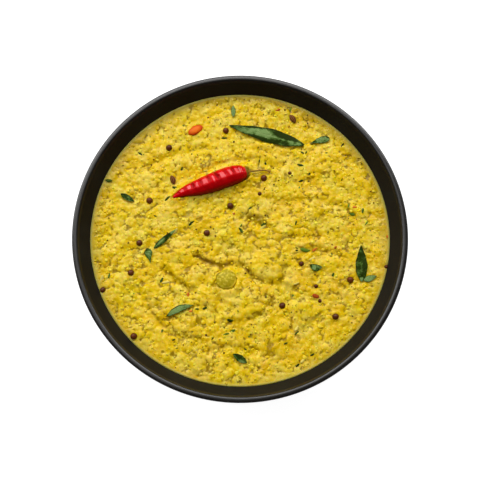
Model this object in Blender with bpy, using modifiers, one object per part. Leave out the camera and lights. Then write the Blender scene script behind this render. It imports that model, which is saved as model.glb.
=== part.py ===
"""A black stoneware bowl of chayote lentil curry with its tempering, each separate piece one closed solid.

Units are metres and +Z is up. The origin is the middle of the bowl's foot, on the table; +X is to the right and +Y
away from the diner. The places of the toppings are noted as pixels of a 480 x 480 picture taken from above the
diner's side of the bowl, and a line of sight through each pixel finds its place on the curry.
"""

import math

import bmesh
import bpy
import numpy as np
from mathutils import Matrix, Vector

# The bowl.
RIM_RADIUS = 0.075
BOWL_HEIGHT = 0.054
LIP_WIDTH = 0.0026
FLOOR_HEIGHT = 0.0065
BASE_HEIGHT = 0.0025
INNER_POWER = 2.0
OUTER_POWER = 2.3
FOOT_OUTER = 0.031
FOOT_INNER = 0.0265
FOOT_EDGE = 0.0008
TURNS = 56

LIP_RADIUS = LIP_WIDTH / 2
LIP_HEIGHT = BOWL_HEIGHT - LIP_RADIUS
INNER_RADIUS = RIM_RADIUS - LIP_WIDTH

# The curry: its level at the wall, the greatest rise above it, and the play between touching pieces.
LEVEL = BOWL_HEIGHT - 0.0066
MOST_RISE = 0.0021
REST_SINK = 0.0001
GAP = 0.00035
WALL_CALM = 0.0045
RELIEF_CELLS = 65
RELIEF_SIZE = 0.142
GRAIN_PITCH = 0.0026
GRAIN_RISE = 0.0011
SWIRL_PITCH = 0.0058
SWIRL_RISE = 0.00035
SWIRL_CENTRE_PX = (240, 252)

# The picture's line of sight.
VIEW_ELEVATION = math.radians(77.1)
VIEW_DISTANCE = 0.4
VIEW_TARGET = np.array([0.00017, -0.00344, LIP_HEIGHT])
VIEW_FOCAL_PX = 893.1
VIEW_MIDDLE_PX = 240

# Lumps of chayote under the curry: picture pixel, radius and rise.
LUMPS = [
    ((222, 228), 0.0072, 0.0013),
    ((177, 254), 0.0055, 0.0013),
    ((265, 261), 0.0095, 0.0015),
    ((246, 303), 0.0100, 0.0014),
    ((188, 277), 0.0048, 0.0009),
    ((150, 292), 0.0050, 0.0009),
    ((204, 297), 0.0045, 0.0008),
    ((298, 306), 0.0066, 0.0010),
    ((193, 322), 0.0056, 0.0008),
    ((186, 164), 0.0062, 0.0006),
    ((141, 180), 0.0055, 0.0007),
    ((217, 150), 0.0064, 0.0006),
    ((325, 162), 0.0070, 0.0008),
    ((286, 230), 0.0055, 0.0007),
    ((335, 232), 0.0060, 0.0007),
    ((272, 348), 0.0065, 0.0007),
    ((200, 358), 0.0060, 0.0006),
    ((338, 290), 0.0060, 0.0007),
    ((292, 171), 0.0050, 0.0006),
    ((122, 235), 0.0055, 0.0006),
]

# Creases that the spoon left: each runs through picture pixels, with the curry piled up on its far side.
CREASES = [
    ((199, 257), (212, 262), (222, 266), (241, 264)),
    ((243, 266), (253, 277), (274, 281), (297, 289), (312, 297)),
    ((167, 268), (176, 280), (187, 291)),
    ((140, 289), (148, 307), (161, 323), (179, 334), (198, 338)),
    ((268, 197), (284, 201), (302, 198)),
    ((228, 319), (243, 321), (256, 316)),
    ((286, 330), (301, 326), (314, 316)),
    ((150, 163), (175, 153), (202, 147)),
    ((203, 171), (224, 162), (250, 158)),
    ((322, 199), (344, 206), (362, 222)),
]
CREASE_DEPTH = 0.0010
CREASE_REACH = 0.0022

# Leaves: node name, picture pixels of the stalk end and the tip, width, arch, twist, and fold about the midrib.
LEAVES = [
    ("curry_leaf_1", (303.5, 145.3), (229.5, 126.3), 0.0066, 0.0011, 0.06, -0.14),
    ("curry_leaf_2", (328, 136), (312, 140.8), 0.0030, 0.0003, 0.05, -0.10),
    ("curry_leaf_3", (360.5, 280), (360.5, 245), 0.0050, 0.0006, 0.04, 0.16),
    ("curry_leaf_4", (365.5, 279.5), (375.5, 275), 0.0029, 0.0003, -0.08, -0.10),
    ("curry_leaf_5", (155, 247), (177, 229), 0.0029, 0.0004, 0.12, -0.10),
    ("curry_leaf_6", (145, 249), (151.5, 262), 0.0033, 0.0003, -0.10, -0.08),
    ("curry_leaf_7", (167, 316.5), (193, 304), 0.0033, 0.0006, 0.06, -0.16),
    ("curry_leaf_8", (233, 353), (246, 363), 0.0032, 0.0003, 0.08, -0.10),
    ("curry_leaf_9", (309.5, 265), (321.5, 267.5), 0.0030, 0.0003, 0.05, -0.10),
    ("curry_leaf_10", (121.5, 194.5), (133.5, 201), 0.0027, 0.0003, -0.05, -0.10),
    ("curry_leaf_11", (233, 117), (233, 106.5), 0.0021, 0.0002, 0.0, -0.08),
]
LEAF_THICKNESS = 0.0004
LEAF_LIFT = 0.0012
LEAF_STEP = 0.0024
LEAF_ACROSS = 4

# The dried red chilli: picture pixels along its middle from the tip to the shoulder.
CHILLI_MIDDLE_PX = ((173, 197.0), (186, 191.2), (200, 186.7), (214, 181.7), (228, 176.6), (238, 173.8), (244.8, 172.4))
CHILLI_RADII = (0.0006, 0.0026, 0.0038, 0.0044, 0.0045, 0.0041, 0.0027)
CHILLI_LIFT = 0.36
CHILLI_RIBS = 10
CHILLI_RIB_DEPTH = 0.035
CHILLI_STATIONS = 36
STALK_PX = ((244.8, 172.4), (250, 171.5), (257, 170.6), (264, 170.2), (270, 171.4))
STALK_RADIUS = 0.0006
CALYX_RADIUS = 0.0021

# A piece of ripe red chilli, and a slice of green chayote that shows through.
RED_PIECE_PX = (195.2, 130.3)
RED_PIECE_SIZE = (0.0076, 0.0040, 0.0018)
RED_PIECE_TURN = math.radians(28)
CHAYOTE_PX = (226, 279)
CHAYOTE_SIZE = (0.0098, 0.0094, 0.0040)

# The tempering that is fused to the curry: picture pixels of each.
MUSTARD_PX = [
    (169, 148), (225.5, 130.8), (263.4, 178), (230, 205.5), (149.5, 200.5), (206.5, 232.7), (139.4, 242.6),
    (131, 272.4), (133.8, 335.5), (301, 262.8), (349.6, 279.2), (281.8, 305), (334.7, 316), (315.3, 295.3),
    (314.4, 248.8), (102.8, 289.4),
]  # fmt: skip
MUSTARD_RADIUS = 0.00135
CUMIN_PX = [((291.9, 119.2), math.radians(-58)), ((172.4, 179.6), math.radians(-70))]
CUMIN_SIZE = (0.0044, 0.0022, 0.0020)
FLECK_PX = [
    ((109, 180.5), 0.0034, -10), ((167.3, 198.3), 0.0031, 40), ((175, 188), 0.0027, -20), ((263.5, 223.5), 0.0040, 35),
    ((295.5, 223.5), 0.0022, 75), ((240.8, 230), 0.0024, -65), ((341, 145.5), 0.0018, 50),
    ((299.5, 164.8), 0.0026, -10), ((224, 137.5), 0.0024, 5), ((204.8, 307.5), 0.0022, 30), ((297, 326), 0.0030, 70),
    ((161, 279.8), 0.0026, 65), ((230, 330), 0.0036, 30), ((348, 205), 0.0028, 60), ((108.5, 275), 0.0026, 80),
]  # fmt: skip
FLECK_WIDTH = 0.0013
FLECK_THICKNESS = 0.0008
SEED_SINK = 0.45


def empty_the_scene():
    """Removes what the opening file holds."""
    for thing in list(bpy.data.objects):
        bpy.data.objects.remove(thing, do_unlink=True)


def new_collection(name):
    """A collection of that name in the scene."""
    made = bpy.data.collections.new(name)
    bpy.context.scene.collection.children.link(made)
    return made


def finish_of(name, colour, roughness):
    """A Principled material of that colour and roughness."""
    made = bpy.data.materials.new(name)
    made.use_nodes = True
    shader = made.node_tree.nodes["Principled BSDF"]
    shader.inputs["Base Color"].default_value = (*colour, 1.0)
    shader.inputs["Roughness"].default_value = roughness
    made.diffuse_color = (*colour, 1.0)
    return made


def object_of(name, mesh, finish, collection):
    """An object of that mesh, in that collection, with its finish."""
    made = bpy.data.objects.new(name, mesh)
    mesh.materials.clear()
    mesh.materials.append(finish)
    collection.objects.link(made)
    return made


def seen_at(pixel, height=LEVEL):
    """Where the line of sight through a pixel of the picture meets that height, as (x, y)."""
    back = np.array([0.0, -math.cos(VIEW_ELEVATION), math.sin(VIEW_ELEVATION)])
    up = np.array([0.0, math.sin(VIEW_ELEVATION), math.cos(VIEW_ELEVATION)])
    right = np.array([1.0, 0.0, 0.0])
    eye = VIEW_TARGET + VIEW_DISTANCE * back
    across, down = pixel[0] - VIEW_MIDDLE_PX, pixel[1] - VIEW_MIDDLE_PX
    ray = -VIEW_FOCAL_PX * back + across * right - down * up
    place = eye + ray * (height - eye[2]) / ray[2]
    return place[0], place[1]


def smooth(t):
    """An S-shaped step from 0 to 1 as t goes from 0 to 1."""
    t = np.clip(t, 0.0, 1.0)
    return t * t * (3.0 - 2.0 * t)


def noise(x, y, cell, seed):
    """Soft random hills from -1 to 1, as wide as the cell: random values on a square lattice, blended between."""
    lattice = np.random.default_rng(seed).uniform(-1.0, 1.0, (64, 64))
    u, v = x / cell + 32.0, y / cell + 32.0
    column, row = np.floor(u).astype(int) % 63, np.floor(v).astype(int) % 63
    s, t = smooth(u - np.floor(u)), smooth(v - np.floor(v))
    near = lattice[row, column] * (1 - s) + lattice[row, column + 1] * s
    far = lattice[row + 1, column] * (1 - s) + lattice[row + 1, column + 1] * s
    return near * (1 - t) + far * t


def grains(x, y, pitch, seed):
    """Domes of cooked lentils from 0 to 1, one in each square of a shaken lattice; the highest dome wins."""
    shake = np.random.default_rng(seed).uniform(0.0, 1.0, (3, 128, 128))
    column, row = np.floor(x / pitch).astype(int), np.floor(y / pitch).astype(int)
    best = np.zeros_like(x)
    for i in (-1, 0, 1):
        for j in (-1, 0, 1):
            place = (row + j) % 128, (column + i) % 128
            middle_x = (column + i + 0.1 + 0.8 * shake[0][place]) * pitch
            middle_y = (row + j + 0.1 + 0.8 * shake[1][place]) * pitch
            radius = pitch * (0.55 + 0.35 * shake[2][place])
            apart = ((x - middle_x) ** 2 + (y - middle_y) ** 2) / radius**2
            dome = (0.6 + 0.4 * shake[2][place]) * np.sqrt(np.clip(1.0 - apart, 0.0, 1.0))
            best = np.maximum(best, dome)
    return best


def along_line(x, y, line):
    """Signed distance to a line of points, positive on its left, and how far the nearest spot lies along it."""
    best = np.full_like(x, 1.0)
    side = np.ones_like(x)
    for (ax, ay), (bx, by) in zip(line, line[1:]):
        dx, dy = bx - ax, by - ay
        t = np.clip(((x - ax) * dx + (y - ay) * dy) / (dx * dx + dy * dy), 0.0, 1.0)
        apart = np.hypot(x - ax - t * dx, y - ay - t * dy)
        nearer = apart < best
        left = np.sign(dx * (y - ay) - dy * (x - ax))
        side = np.where(nearer, left, side)
        best = np.where(nearer, apart, best)
    return best * side


def wall_height(radius):
    """Height of the bowl's inner wall at that radius."""
    return FLOOR_HEIGHT + (LIP_HEIGHT - FLOOR_HEIGHT) * (radius / INNER_RADIUS) ** INNER_POWER


def wall_radius(height):
    """Radius of the bowl's inner wall at that height."""
    return INNER_RADIUS * ((height - FLOOR_HEIGHT) / (LIP_HEIGHT - FLOOR_HEIGHT)) ** (1.0 / INNER_POWER)


def broad_relief(x, y):
    """Rise of the curry over its level without the single grains: chayote lumps, spoon creases and a slow swirl."""
    rise = 0.00045 * noise(x, y, 0.0085, 11) + 0.00030 * noise(x, y, 0.0042, 12)
    for pixel, radius, height in LUMPS:
        middle = seen_at(pixel)
        apart = np.hypot(x - middle[0], y - middle[1]) / radius
        rise = rise + height * (1.0 - smooth(apart / 1.35))
    middle = seen_at(SWIRL_CENTRE_PX)
    reach = np.hypot(x - middle[0], y - middle[1])
    turn = np.arctan2(y - middle[1], x - middle[0])
    warp = 0.0022 * noise(x, y, 0.016, 13)
    phase = (reach + warp) / SWIRL_PITCH + turn / (2 * math.pi)
    strength = smooth(0.5 + 0.7 * noise(x, y, 0.02, 14))
    rise = rise + SWIRL_RISE * strength * np.sin(2 * math.pi * phase)
    for pixels in CREASES:
        line = [seen_at(pixel) for pixel in pixels]
        apart = along_line(x, y, line) / CREASE_REACH
        trough = -CREASE_DEPTH * np.exp(-((apart + 0.45) ** 2) / 0.5)
        bank = 0.55 * CREASE_DEPTH * np.exp(-((apart - 1.0) ** 2) / 0.9)
        rise = rise + trough + bank
    return rise


def curry_height(x, y, grainy=True):
    """Height of the curry's open surface before anything is laid on it."""
    calm = smooth((wall_radius(LEVEL) - np.hypot(x, y)) / WALL_CALM)
    rise = broad_relief(x, y) - REST_SINK
    if grainy:
        rise = rise + GRAIN_RISE * (grains(x, y, GRAIN_PITCH, 21) - 0.45)
    rise = MOST_RISE * np.tanh(rise / MOST_RISE)
    return LEVEL + calm * rise


def resting_height(pixel, reach=0.0006):
    """Height of the curry, without grains, where a topping rests: the mean over a small cross."""
    x, y = seen_at(pixel)
    xs = x + reach * np.array([0.0, 1.0, -1.0, 0.0, 0.0])
    ys = y + reach * np.array([0.0, 0.0, 0.0, 1.0, -1.0])
    return float(np.mean(curry_height(xs, ys, grainy=False)))


def leaf_half_width(t, width):
    """Half the width of a leaf blade at t from its stalk end (0) to its tip (1), pointed at both ends."""
    t = np.asarray(t, dtype=float)
    return 0.5 * width * np.sin(math.pi * t**0.85) ** 0.75 + 0.06 * width


def leaf_frame(leaf):
    """The two ends of a leaf's midrib, its length and the unit vectors along and across it, seen from above."""
    name, stalk_px, tip_px, width, arch, twist, fold = leaf
    start, end = np.array(seen_at(stalk_px)), np.array(seen_at(tip_px))
    length = float(np.linalg.norm(end - start))
    along = (end - start) / length
    return start, along, np.array([-along[1], along[0]]), length


def leaf_height(leaf, along_t, across):
    """Height of a leaf's middle layer: it bridges the curry between its ends, arched, twisted and a little wavy."""
    name, stalk_px, tip_px, width, arch, twist, fold = leaf
    low, high = resting_height(stalk_px), resting_height(tip_px)
    middle_px = (0.5 * (stalk_px[0] + tip_px[0]), 0.5 * (stalk_px[1] + tip_px[1]))
    middle = resting_height(middle_px)
    bridge = low * (1 - along_t) ** 2 + 2 * middle * along_t * (1 - along_t) + high * along_t**2
    tilt = fold * np.abs(across) + twist * across
    wave = 0.07 * width * np.sin(2 * math.pi * (1.3 * along_t + 0.2)) * across / (0.5 * width)
    return bridge + LEAF_LIFT + arch * np.sin(math.pi * along_t) + tilt + wave


def leaf_bed(leaf, x, y):
    """Highest that the curry may stand under a leaf, and 1e3 away from it."""
    start, along, over, length = leaf_frame(leaf)
    width = leaf[3]
    u = (x - start[0]) * along[0] + (y - start[1]) * along[1]
    v = (x - start[0]) * over[0] + (y - start[1]) * over[1]
    margin = RELIEF_SIZE / RELIEF_CELLS
    t = np.clip(u / length, 0.0, 1.0)
    half = leaf_half_width(t, width)
    inside = (np.abs(v) < half + margin) & (u > -margin) & (u < length + margin)
    under = leaf_height(leaf, t, np.clip(v, -half, half)) - LEAF_THICKNESS / 2 - GAP
    return np.where(inside, under, 1e3)


def ellipsoid_bed(pixel, size, turn, x, y):
    """Highest that the curry may stand under an ellipsoid that rests half sunk, and 1e3 away from it."""
    middle = seen_at(pixel)
    height = resting_height(pixel)
    u = (x - middle[0]) * math.cos(turn) + (y - middle[1]) * math.sin(turn)
    v = -(x - middle[0]) * math.sin(turn) + (y - middle[1]) * math.cos(turn)
    half = [0.5 * s + GAP for s in size]
    apart = (u / half[0]) ** 2 + (v / half[1]) ** 2
    under = height - half[2] * np.sqrt(np.clip(1.0 - apart, 0.0, 1.0)) - GAP
    return np.where(apart < 1.0, under, 1e3)


def smooth_line(points, count):
    """That many points on a smooth curve through the points: each span is a cubic with Catmull-Rom tangents."""
    points = np.array(points, dtype=float)
    padded = np.vstack([2 * points[0] - points[1], points, 2 * points[-1] - points[-2]])
    t = np.linspace(0.0, len(points) - 1.0, count)
    span = np.minimum(t.astype(int), len(points) - 2)
    f = (t - span)[:, None]
    a, b, c, d = (padded[span + k] for k in range(4))
    return 0.5 * (2 * b + (c - a) * f + (2 * a - 5 * b + 4 * c - d) * f**2 + (3 * b - a - 3 * c + d) * f**3)


def chilli_line():
    """Points along the middle of the chilli pod from its tip to its shoulder, and the ribbed pod's radius at each."""
    knots = []
    for pixel, radius in zip(CHILLI_MIDDLE_PX, CHILLI_RADII):
        height = LEVEL + CHILLI_LIFT * radius
        knots.append((*seen_at(pixel, height), height, radius))
    line = smooth_line(knots, CHILLI_STATIONS)
    t = np.linspace(0.0, 1.0, CHILLI_STATIONS)
    ribs = 1.0 - CHILLI_RIB_DEPTH * (0.5 + 0.5 * np.cos(2 * math.pi * CHILLI_RIBS * t)) * np.sin(math.pi * t)
    return line[:, :3], line[:, 3] * ribs


def chilli_bed(x, y, line, radii):
    """Highest that the curry may stand under the chilli pod, and 1e3 away from it."""
    under = np.full_like(x, 1e3)
    for (px, py, pz), radius in zip(line, radii):
        reach = radius + GAP
        apart = np.hypot(x - px, y - py)
        dip = pz - np.sqrt(np.clip(reach**2 - apart**2, 0.0, None))
        under = np.where(apart < reach, np.minimum(under, dip - GAP), under)
    return under


def stalk_line():
    """Points along the chilli's stalk, from the pod's shoulder out over the curry."""
    shoulder = chilli_line()[0][-1][2]
    points = []
    for k, pixel in enumerate(STALK_PX):
        t = k / (len(STALK_PX) - 1)
        height = shoulder * (1 - t) + (resting_height(pixel) + 0.0018) * t
        points.append((*seen_at(pixel, height), height))
    return smooth_line(points, 12)


def laid_curry_height(x, y, grainy=True):
    """Height of the curry with a bed pressed into it under each separate topping."""
    height = curry_height(x, y, grainy)
    line, radii = chilli_line()
    stalk = stalk_line()
    beds = [leaf_bed(leaf, x, y) for leaf in LEAVES]
    beds.append(chilli_bed(x, y, line, radii))
    beds.append(chilli_bed(x, y, stalk, np.full(len(stalk), CALYX_RADIUS)))
    beds.append(ellipsoid_bed(RED_PIECE_PX, RED_PIECE_SIZE, RED_PIECE_TURN, x, y))
    beds.append(ellipsoid_bed(CHAYOTE_PX, CHAYOTE_SIZE, 0.0, x, y))
    for bed in beds:
        height = np.minimum(height, bed)
    return height


def turned(name, profile, finish, collection):
    """A solid of revolution: the profile as (radius, height) points, turned about Z by a Screw modifier."""
    mesh = bpy.data.meshes.new(name)
    points = [(radius, 0.0, height) for radius, height in profile]
    mesh.from_pydata(points, [(k, k + 1) for k in range(len(points) - 1)], [])
    made = object_of(name, mesh, finish, collection)
    screw = made.modifiers.new("Screw", "SCREW")
    screw.steps = screw.render_steps = TURNS
    screw.use_merge_vertices = True
    screw.merge_threshold = 0.00005
    return made


def wall_stations():
    """Radii at which the inner wall and the curry that meets it both have a ring of points."""
    return [INNER_RADIUS * share for share in (0.0, 0.35, 0.62, 0.82, 0.94, 1.0)]


def bowl_profile():
    """The bowl's section from the middle of its inside, over the lip, down its outer side and under its foot."""
    inside = [(radius, wall_height(radius)) for radius in wall_stations()]
    lip_middle = RIM_RADIUS - LIP_RADIUS
    lip = []
    for k in range(1, 6):
        angle = math.pi * (1.0 - k / 6)
        lip.append((lip_middle + LIP_RADIUS * math.cos(angle), LIP_HEIGHT + LIP_RADIUS * math.sin(angle)))
    outside = []
    for share in (1.0, 0.93, 0.85, 0.74, 0.62, 0.51):
        radius = RIM_RADIUS * share
        outside.append((radius, BASE_HEIGHT + (LIP_HEIGHT - BASE_HEIGHT) * share**OUTER_POWER))
    foot_top = BASE_HEIGHT + (LIP_HEIGHT - BASE_HEIGHT) * ((FOOT_OUTER + 0.0006) / RIM_RADIUS) ** OUTER_POWER
    foot = [
        (FOOT_OUTER + 0.0006, foot_top),
        (FOOT_OUTER, FOOT_EDGE),
        (FOOT_OUTER - FOOT_EDGE, 0.0),
        (FOOT_INNER, 0.0),
        (FOOT_INNER - FOOT_EDGE, BASE_HEIGHT),
        (0.0, BASE_HEIGHT),
    ]
    return inside + lip + outside + foot


def make_bowl(finish, collection):
    """The bowl: a shallow stoneware bowl on a foot ring, with a rounded lip."""
    bowl = turned("bowl", bowl_profile(), finish, collection)
    shade_round(bowl.data)
    return bowl


def shade_round(mesh):
    """Smooth shading with creases kept sharp."""
    mesh.shade_smooth()
    mesh.set_sharp_from_angle(angle=math.radians(50))


def fill_profile():
    """Section of the space that the curry fills, a gap inside the bowl's wall and open well above its level."""
    points = []
    for radius in wall_stations():
        slope = (wall_height(radius + 1e-5) - wall_height(max(radius - 1e-5, 0.0))) / (radius + 1e-5 - max(radius - 1e-5, 0.0))
        steep = math.hypot(1.0, slope)
        points.append((max(radius - GAP * slope / steep, 0.0), wall_height(radius) + GAP / steep))
    points[0] = (0.0, points[0][1])
    top = BOWL_HEIGHT + 0.006
    return [(0.0, top), (points[-1][0], top)] + points[::-1]


def relief_slab(cutters, finish):
    """A closed slab whose top is the curry's relief, deeper than the bowl and wider than its mouth."""
    sheet = bmesh.new()
    bmesh.ops.create_grid(sheet, x_segments=RELIEF_CELLS, y_segments=RELIEF_CELLS, size=RELIEF_SIZE / 2)
    places = np.array([v.co[:2] for v in sheet.verts])
    heights = laid_curry_height(places[:, 0], places[:, 1])
    for vertex, height in zip(sheet.verts, heights):
        vertex.co.z = height
    bmesh.ops.triangulate(sheet, faces=sheet.faces[:])
    lower = bmesh.ops.extrude_face_region(sheet, geom=sheet.faces[:])["geom"]
    for vertex in (item for item in lower if isinstance(item, bmesh.types.BMVert)):
        vertex.co.z = 0.0
    bmesh.ops.recalc_face_normals(sheet, faces=sheet.faces[:])
    mesh = bpy.data.meshes.new("relief_slab")
    sheet.to_mesh(mesh)
    sheet.free()
    return object_of("relief_slab", mesh, finish, cutters)


def seed_of(cutters, finish, name, pixel, size, turn=0.0, sides=5, rings=4):
    """An ellipsoid of few sides, sunk in the curry's surface: a mustard seed, a cumin seed or a fleck of herb."""
    shape = bmesh.new()
    bmesh.ops.create_uvsphere(shape, u_segments=sides, v_segments=rings, radius=0.5)
    x, y = seen_at(pixel)
    surface = float(laid_curry_height(np.array([x]), np.array([y]))[0])
    place = Vector((x, y, surface + (0.5 - SEED_SINK) * size[2]))
    grow = Matrix.Diagonal((*size, 1.0))
    bmesh.ops.transform(
        shape, matrix=Matrix.Translation(place) @ Matrix.Rotation(turn, 4, "Z") @ grow, verts=shape.verts[:]
    )
    mesh = bpy.data.meshes.new(name)
    shape.to_mesh(mesh)
    shape.free()
    return object_of(name, mesh, finish, cutters)


def make_tempering(finish, cutters):
    """The mustard seeds, cumin seeds and flecks of coriander that lie in the curry, in a collection of their own."""
    for k, pixel in enumerate(MUSTARD_PX):
        seed_of(cutters, finish, f"mustard_{k}", pixel, (2 * MUSTARD_RADIUS,) * 3)
    for k, (pixel, turn) in enumerate(CUMIN_PX):
        seed_of(cutters, finish, f"cumin_{k}", pixel, CUMIN_SIZE, turn)
    for k, (pixel, length, turn) in enumerate(FLECK_PX):
        size = (length, FLECK_WIDTH, FLECK_THICKNESS)
        seed_of(cutters, finish, f"fleck_{k}", pixel, size, math.radians(turn), sides=6, rings=3)


def applied(obj, modifier_of):
    """Adds a modifier by a function, applies it, and leaves the object with the resulting mesh."""
    modifier_of(obj)
    graph = bpy.context.evaluated_depsgraph_get()
    mesh = bpy.data.meshes.new_from_object(obj.evaluated_get(graph))
    obj.modifiers.clear()
    obj.data = mesh


def make_curry(finish, collection, cutters):
    """The curry: the bowl's inside cut off by the relief, with the tempering fused to its surface."""
    curry = turned("curry", fill_profile(), finish, collection)
    slab = relief_slab(cutters, finish)
    seeds = new_collection("tempering")
    make_tempering(finish, seeds)
    bpy.context.view_layer.update()

    def cut(obj):
        boolean = obj.modifiers.new("Relief", "BOOLEAN")
        boolean.operation = "INTERSECT"
        boolean.object = slab

    def join(obj):
        boolean = obj.modifiers.new("Tempering", "BOOLEAN")
        boolean.operation = "UNION"
        boolean.operand_type = "COLLECTION"
        boolean.collection = seeds

    applied(curry, cut)
    applied(curry, join)
    for thing in [slab, *seeds.objects]:
        bpy.data.objects.remove(thing, do_unlink=True)
    bpy.data.collections.remove(seeds)
    return curry


def make_leaf(leaf, finish, collection):
    """One curry leaf: a pointed blade folded along its midrib, given its thickness by Solidify."""
    name, stalk_px, tip_px, width, arch, twist, fold = leaf
    start, along, over, length = leaf_frame(leaf)
    steps = max(4, round(length / LEAF_STEP))
    blade = bmesh.new()
    bmesh.ops.create_grid(blade, x_segments=steps, y_segments=LEAF_ACROSS, size=0.5)
    for vertex in blade.verts:
        t = vertex.co.x + 0.5
        across = 2 * vertex.co.y * float(leaf_half_width(t, width))
        place = start + along * (t * length) + over * across
        vertex.co = (*place, float(leaf_height(leaf, np.array(t), np.array(across))))
    bmesh.ops.triangulate(blade, faces=blade.faces[:])
    mesh = bpy.data.meshes.new(name)
    blade.to_mesh(mesh)
    blade.free()
    made = object_of(name, mesh, finish, collection)
    thick = made.modifiers.new("Solidify", "SOLIDIFY")
    thick.thickness = LEAF_THICKNESS
    thick.offset = 0.0
    return made


def tube(name, points, radii, resolution, finish, collection):
    """A tapering tube along points, as a bevelled curve with its caps, made a closed mesh."""
    curve = bpy.data.curves.new(name, "CURVE")
    curve.dimensions = "3D"
    curve.bevel_depth = 1.0
    curve.bevel_resolution = resolution
    curve.use_fill_caps = True
    spline = curve.splines.new("POLY")
    spline.points.add(len(points) - 1)
    for spot, place, radius in zip(spline.points, points, radii):
        spot.co = (*place, 1.0)
        spot.radius = radius
    holder = bpy.data.objects.new(name + "_curve", curve)
    collection.objects.link(holder)
    graph = bpy.context.evaluated_depsgraph_get()
    mesh = bpy.data.meshes.new_from_object(holder.evaluated_get(graph))
    bpy.data.objects.remove(holder, do_unlink=True)
    shape = bmesh.new()
    shape.from_mesh(mesh)
    bmesh.ops.remove_doubles(shape, verts=shape.verts[:], dist=0.00002)
    bmesh.ops.recalc_face_normals(shape, faces=shape.faces[:])
    shape.to_mesh(mesh)
    shape.free()
    return object_of(name, mesh, finish, collection)


def make_chilli(finish, collection, cutters):
    """The dried chilli: a ribbed pod, with its calyx and stalk joined to it."""
    line, radii = chilli_line()
    pod = tube("chilli", line, radii, 4, finish, collection)
    stalk_points = stalk_line()
    share = np.linspace(0.0, 1.0, len(stalk_points))
    calyx = CALYX_RADIUS * (1.0 - smooth(share / 0.28))
    widths = np.maximum(calyx, STALK_RADIUS * (1.0 + 0.35 * smooth((share - 0.8) / 0.2)))
    backed = np.vstack([stalk_points[0] - 0.6 * (stalk_points[1] - stalk_points[0]), stalk_points])
    stalk = tube("stalk", backed, np.concatenate([[CALYX_RADIUS], widths]), 2, finish, cutters)

    def join(obj):
        boolean = obj.modifiers.new("Stalk", "BOOLEAN")
        boolean.operation = "UNION"
        boolean.object = stalk

    applied(pod, join)
    bpy.data.objects.remove(stalk, do_unlink=True)
    shade_round(pod.data)
    return pod


def make_ellipsoid(name, pixel, size, turn, sides, rings, finish, collection):
    """A smooth piece of vegetable of that size, half sunk in its bed."""
    shape = bmesh.new()
    bmesh.ops.create_uvsphere(shape, u_segments=sides, v_segments=rings, radius=0.5)
    x, y = seen_at(pixel)
    place = Vector((x, y, resting_height(pixel)))
    grow = Matrix.Diagonal((*size, 1.0))
    bmesh.ops.transform(
        shape, matrix=Matrix.Translation(place) @ Matrix.Rotation(turn, 4, "Z") @ grow, verts=shape.verts[:]
    )
    mesh = bpy.data.meshes.new(name)
    shape.to_mesh(mesh)
    shape.free()
    made = object_of(name, mesh, finish, collection)
    shade_round(mesh)
    return made


def main():
    """Builds every piece."""
    empty_the_scene()
    pieces = new_collection("bowl_of_chayote_lentil_curry")
    cutters = new_collection("cutters")
    stoneware = finish_of("black_stoneware", (0.012, 0.011, 0.010), 0.45)
    sauce = finish_of("lentil_curry", (0.72, 0.50, 0.07), 0.40)
    leafy = finish_of("curry_leaf", (0.03, 0.10, 0.03), 0.40)
    red = finish_of("red_chilli", (0.45, 0.006, 0.010), 0.25)
    orange = finish_of("ripe_chilli_flesh", (0.75, 0.10, 0.01), 0.35)
    green = finish_of("chayote", (0.42, 0.38, 0.03), 0.30)
    make_bowl(stoneware, pieces)
    make_curry(sauce, pieces, cutters)
    make_chilli(red, pieces, cutters)
    make_ellipsoid("red_chilli_piece", RED_PIECE_PX, RED_PIECE_SIZE, RED_PIECE_TURN, 12, 6, orange, pieces)
    make_ellipsoid("chayote_slice", CHAYOTE_PX, CHAYOTE_SIZE, 0.0, 16, 8, green, pieces)
    for leaf in LEAVES:
        make_leaf(leaf, leafy, pieces)


main()
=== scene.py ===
"""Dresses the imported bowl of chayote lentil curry: the stoneware bowl, the curry and all that lies on it.

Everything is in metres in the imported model's own frame: +Z is up, the origin is the middle of the foot
ring, +X is to the diner's right and +Y is away from the diner. The places of the toppings are pixels of a
480 x 480 picture, and the line of sight through each finds its place on the curry. The curry's broad form,
the leaves and the chilli follow the same formulas as the solids that they stand for.
"""

import logging
import math
from collections.abc import Sequence
from dataclasses import dataclass, field
from enum import Enum

import bpy
import numpy as np
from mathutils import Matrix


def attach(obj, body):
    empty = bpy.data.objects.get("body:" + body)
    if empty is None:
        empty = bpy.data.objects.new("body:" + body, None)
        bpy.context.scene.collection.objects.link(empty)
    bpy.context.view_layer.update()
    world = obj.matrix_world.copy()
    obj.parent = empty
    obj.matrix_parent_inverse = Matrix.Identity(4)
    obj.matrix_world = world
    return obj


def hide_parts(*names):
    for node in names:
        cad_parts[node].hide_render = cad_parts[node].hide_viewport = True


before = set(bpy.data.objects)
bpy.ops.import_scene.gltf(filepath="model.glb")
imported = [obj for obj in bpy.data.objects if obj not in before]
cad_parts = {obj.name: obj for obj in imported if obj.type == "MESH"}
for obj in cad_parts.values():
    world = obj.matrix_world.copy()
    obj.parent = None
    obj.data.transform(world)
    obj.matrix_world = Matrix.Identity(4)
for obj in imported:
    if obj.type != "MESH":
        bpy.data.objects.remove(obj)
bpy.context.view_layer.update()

LOG = logging.getLogger("curry_bowl")

Array = np.ndarray
Pixel = tuple[float, float]
Colour = tuple[float, float, float]
Row = tuple[float, ...]
Material = bpy.types.Material
MM = 0.001
seeded = np.random.default_rng


# ---- Numbers on a plane ----


def circle(count: int) -> Array:
    """Evenly spaced angles once round, from 0."""
    return math.tau * np.arange(count) / count


def packed(*parts: Array | float) -> Array:
    """Arrays side by side along a last axis, each spread to the shape of the largest."""
    return np.stack(np.broadcast_arrays(*parts), axis=-1)


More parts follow.
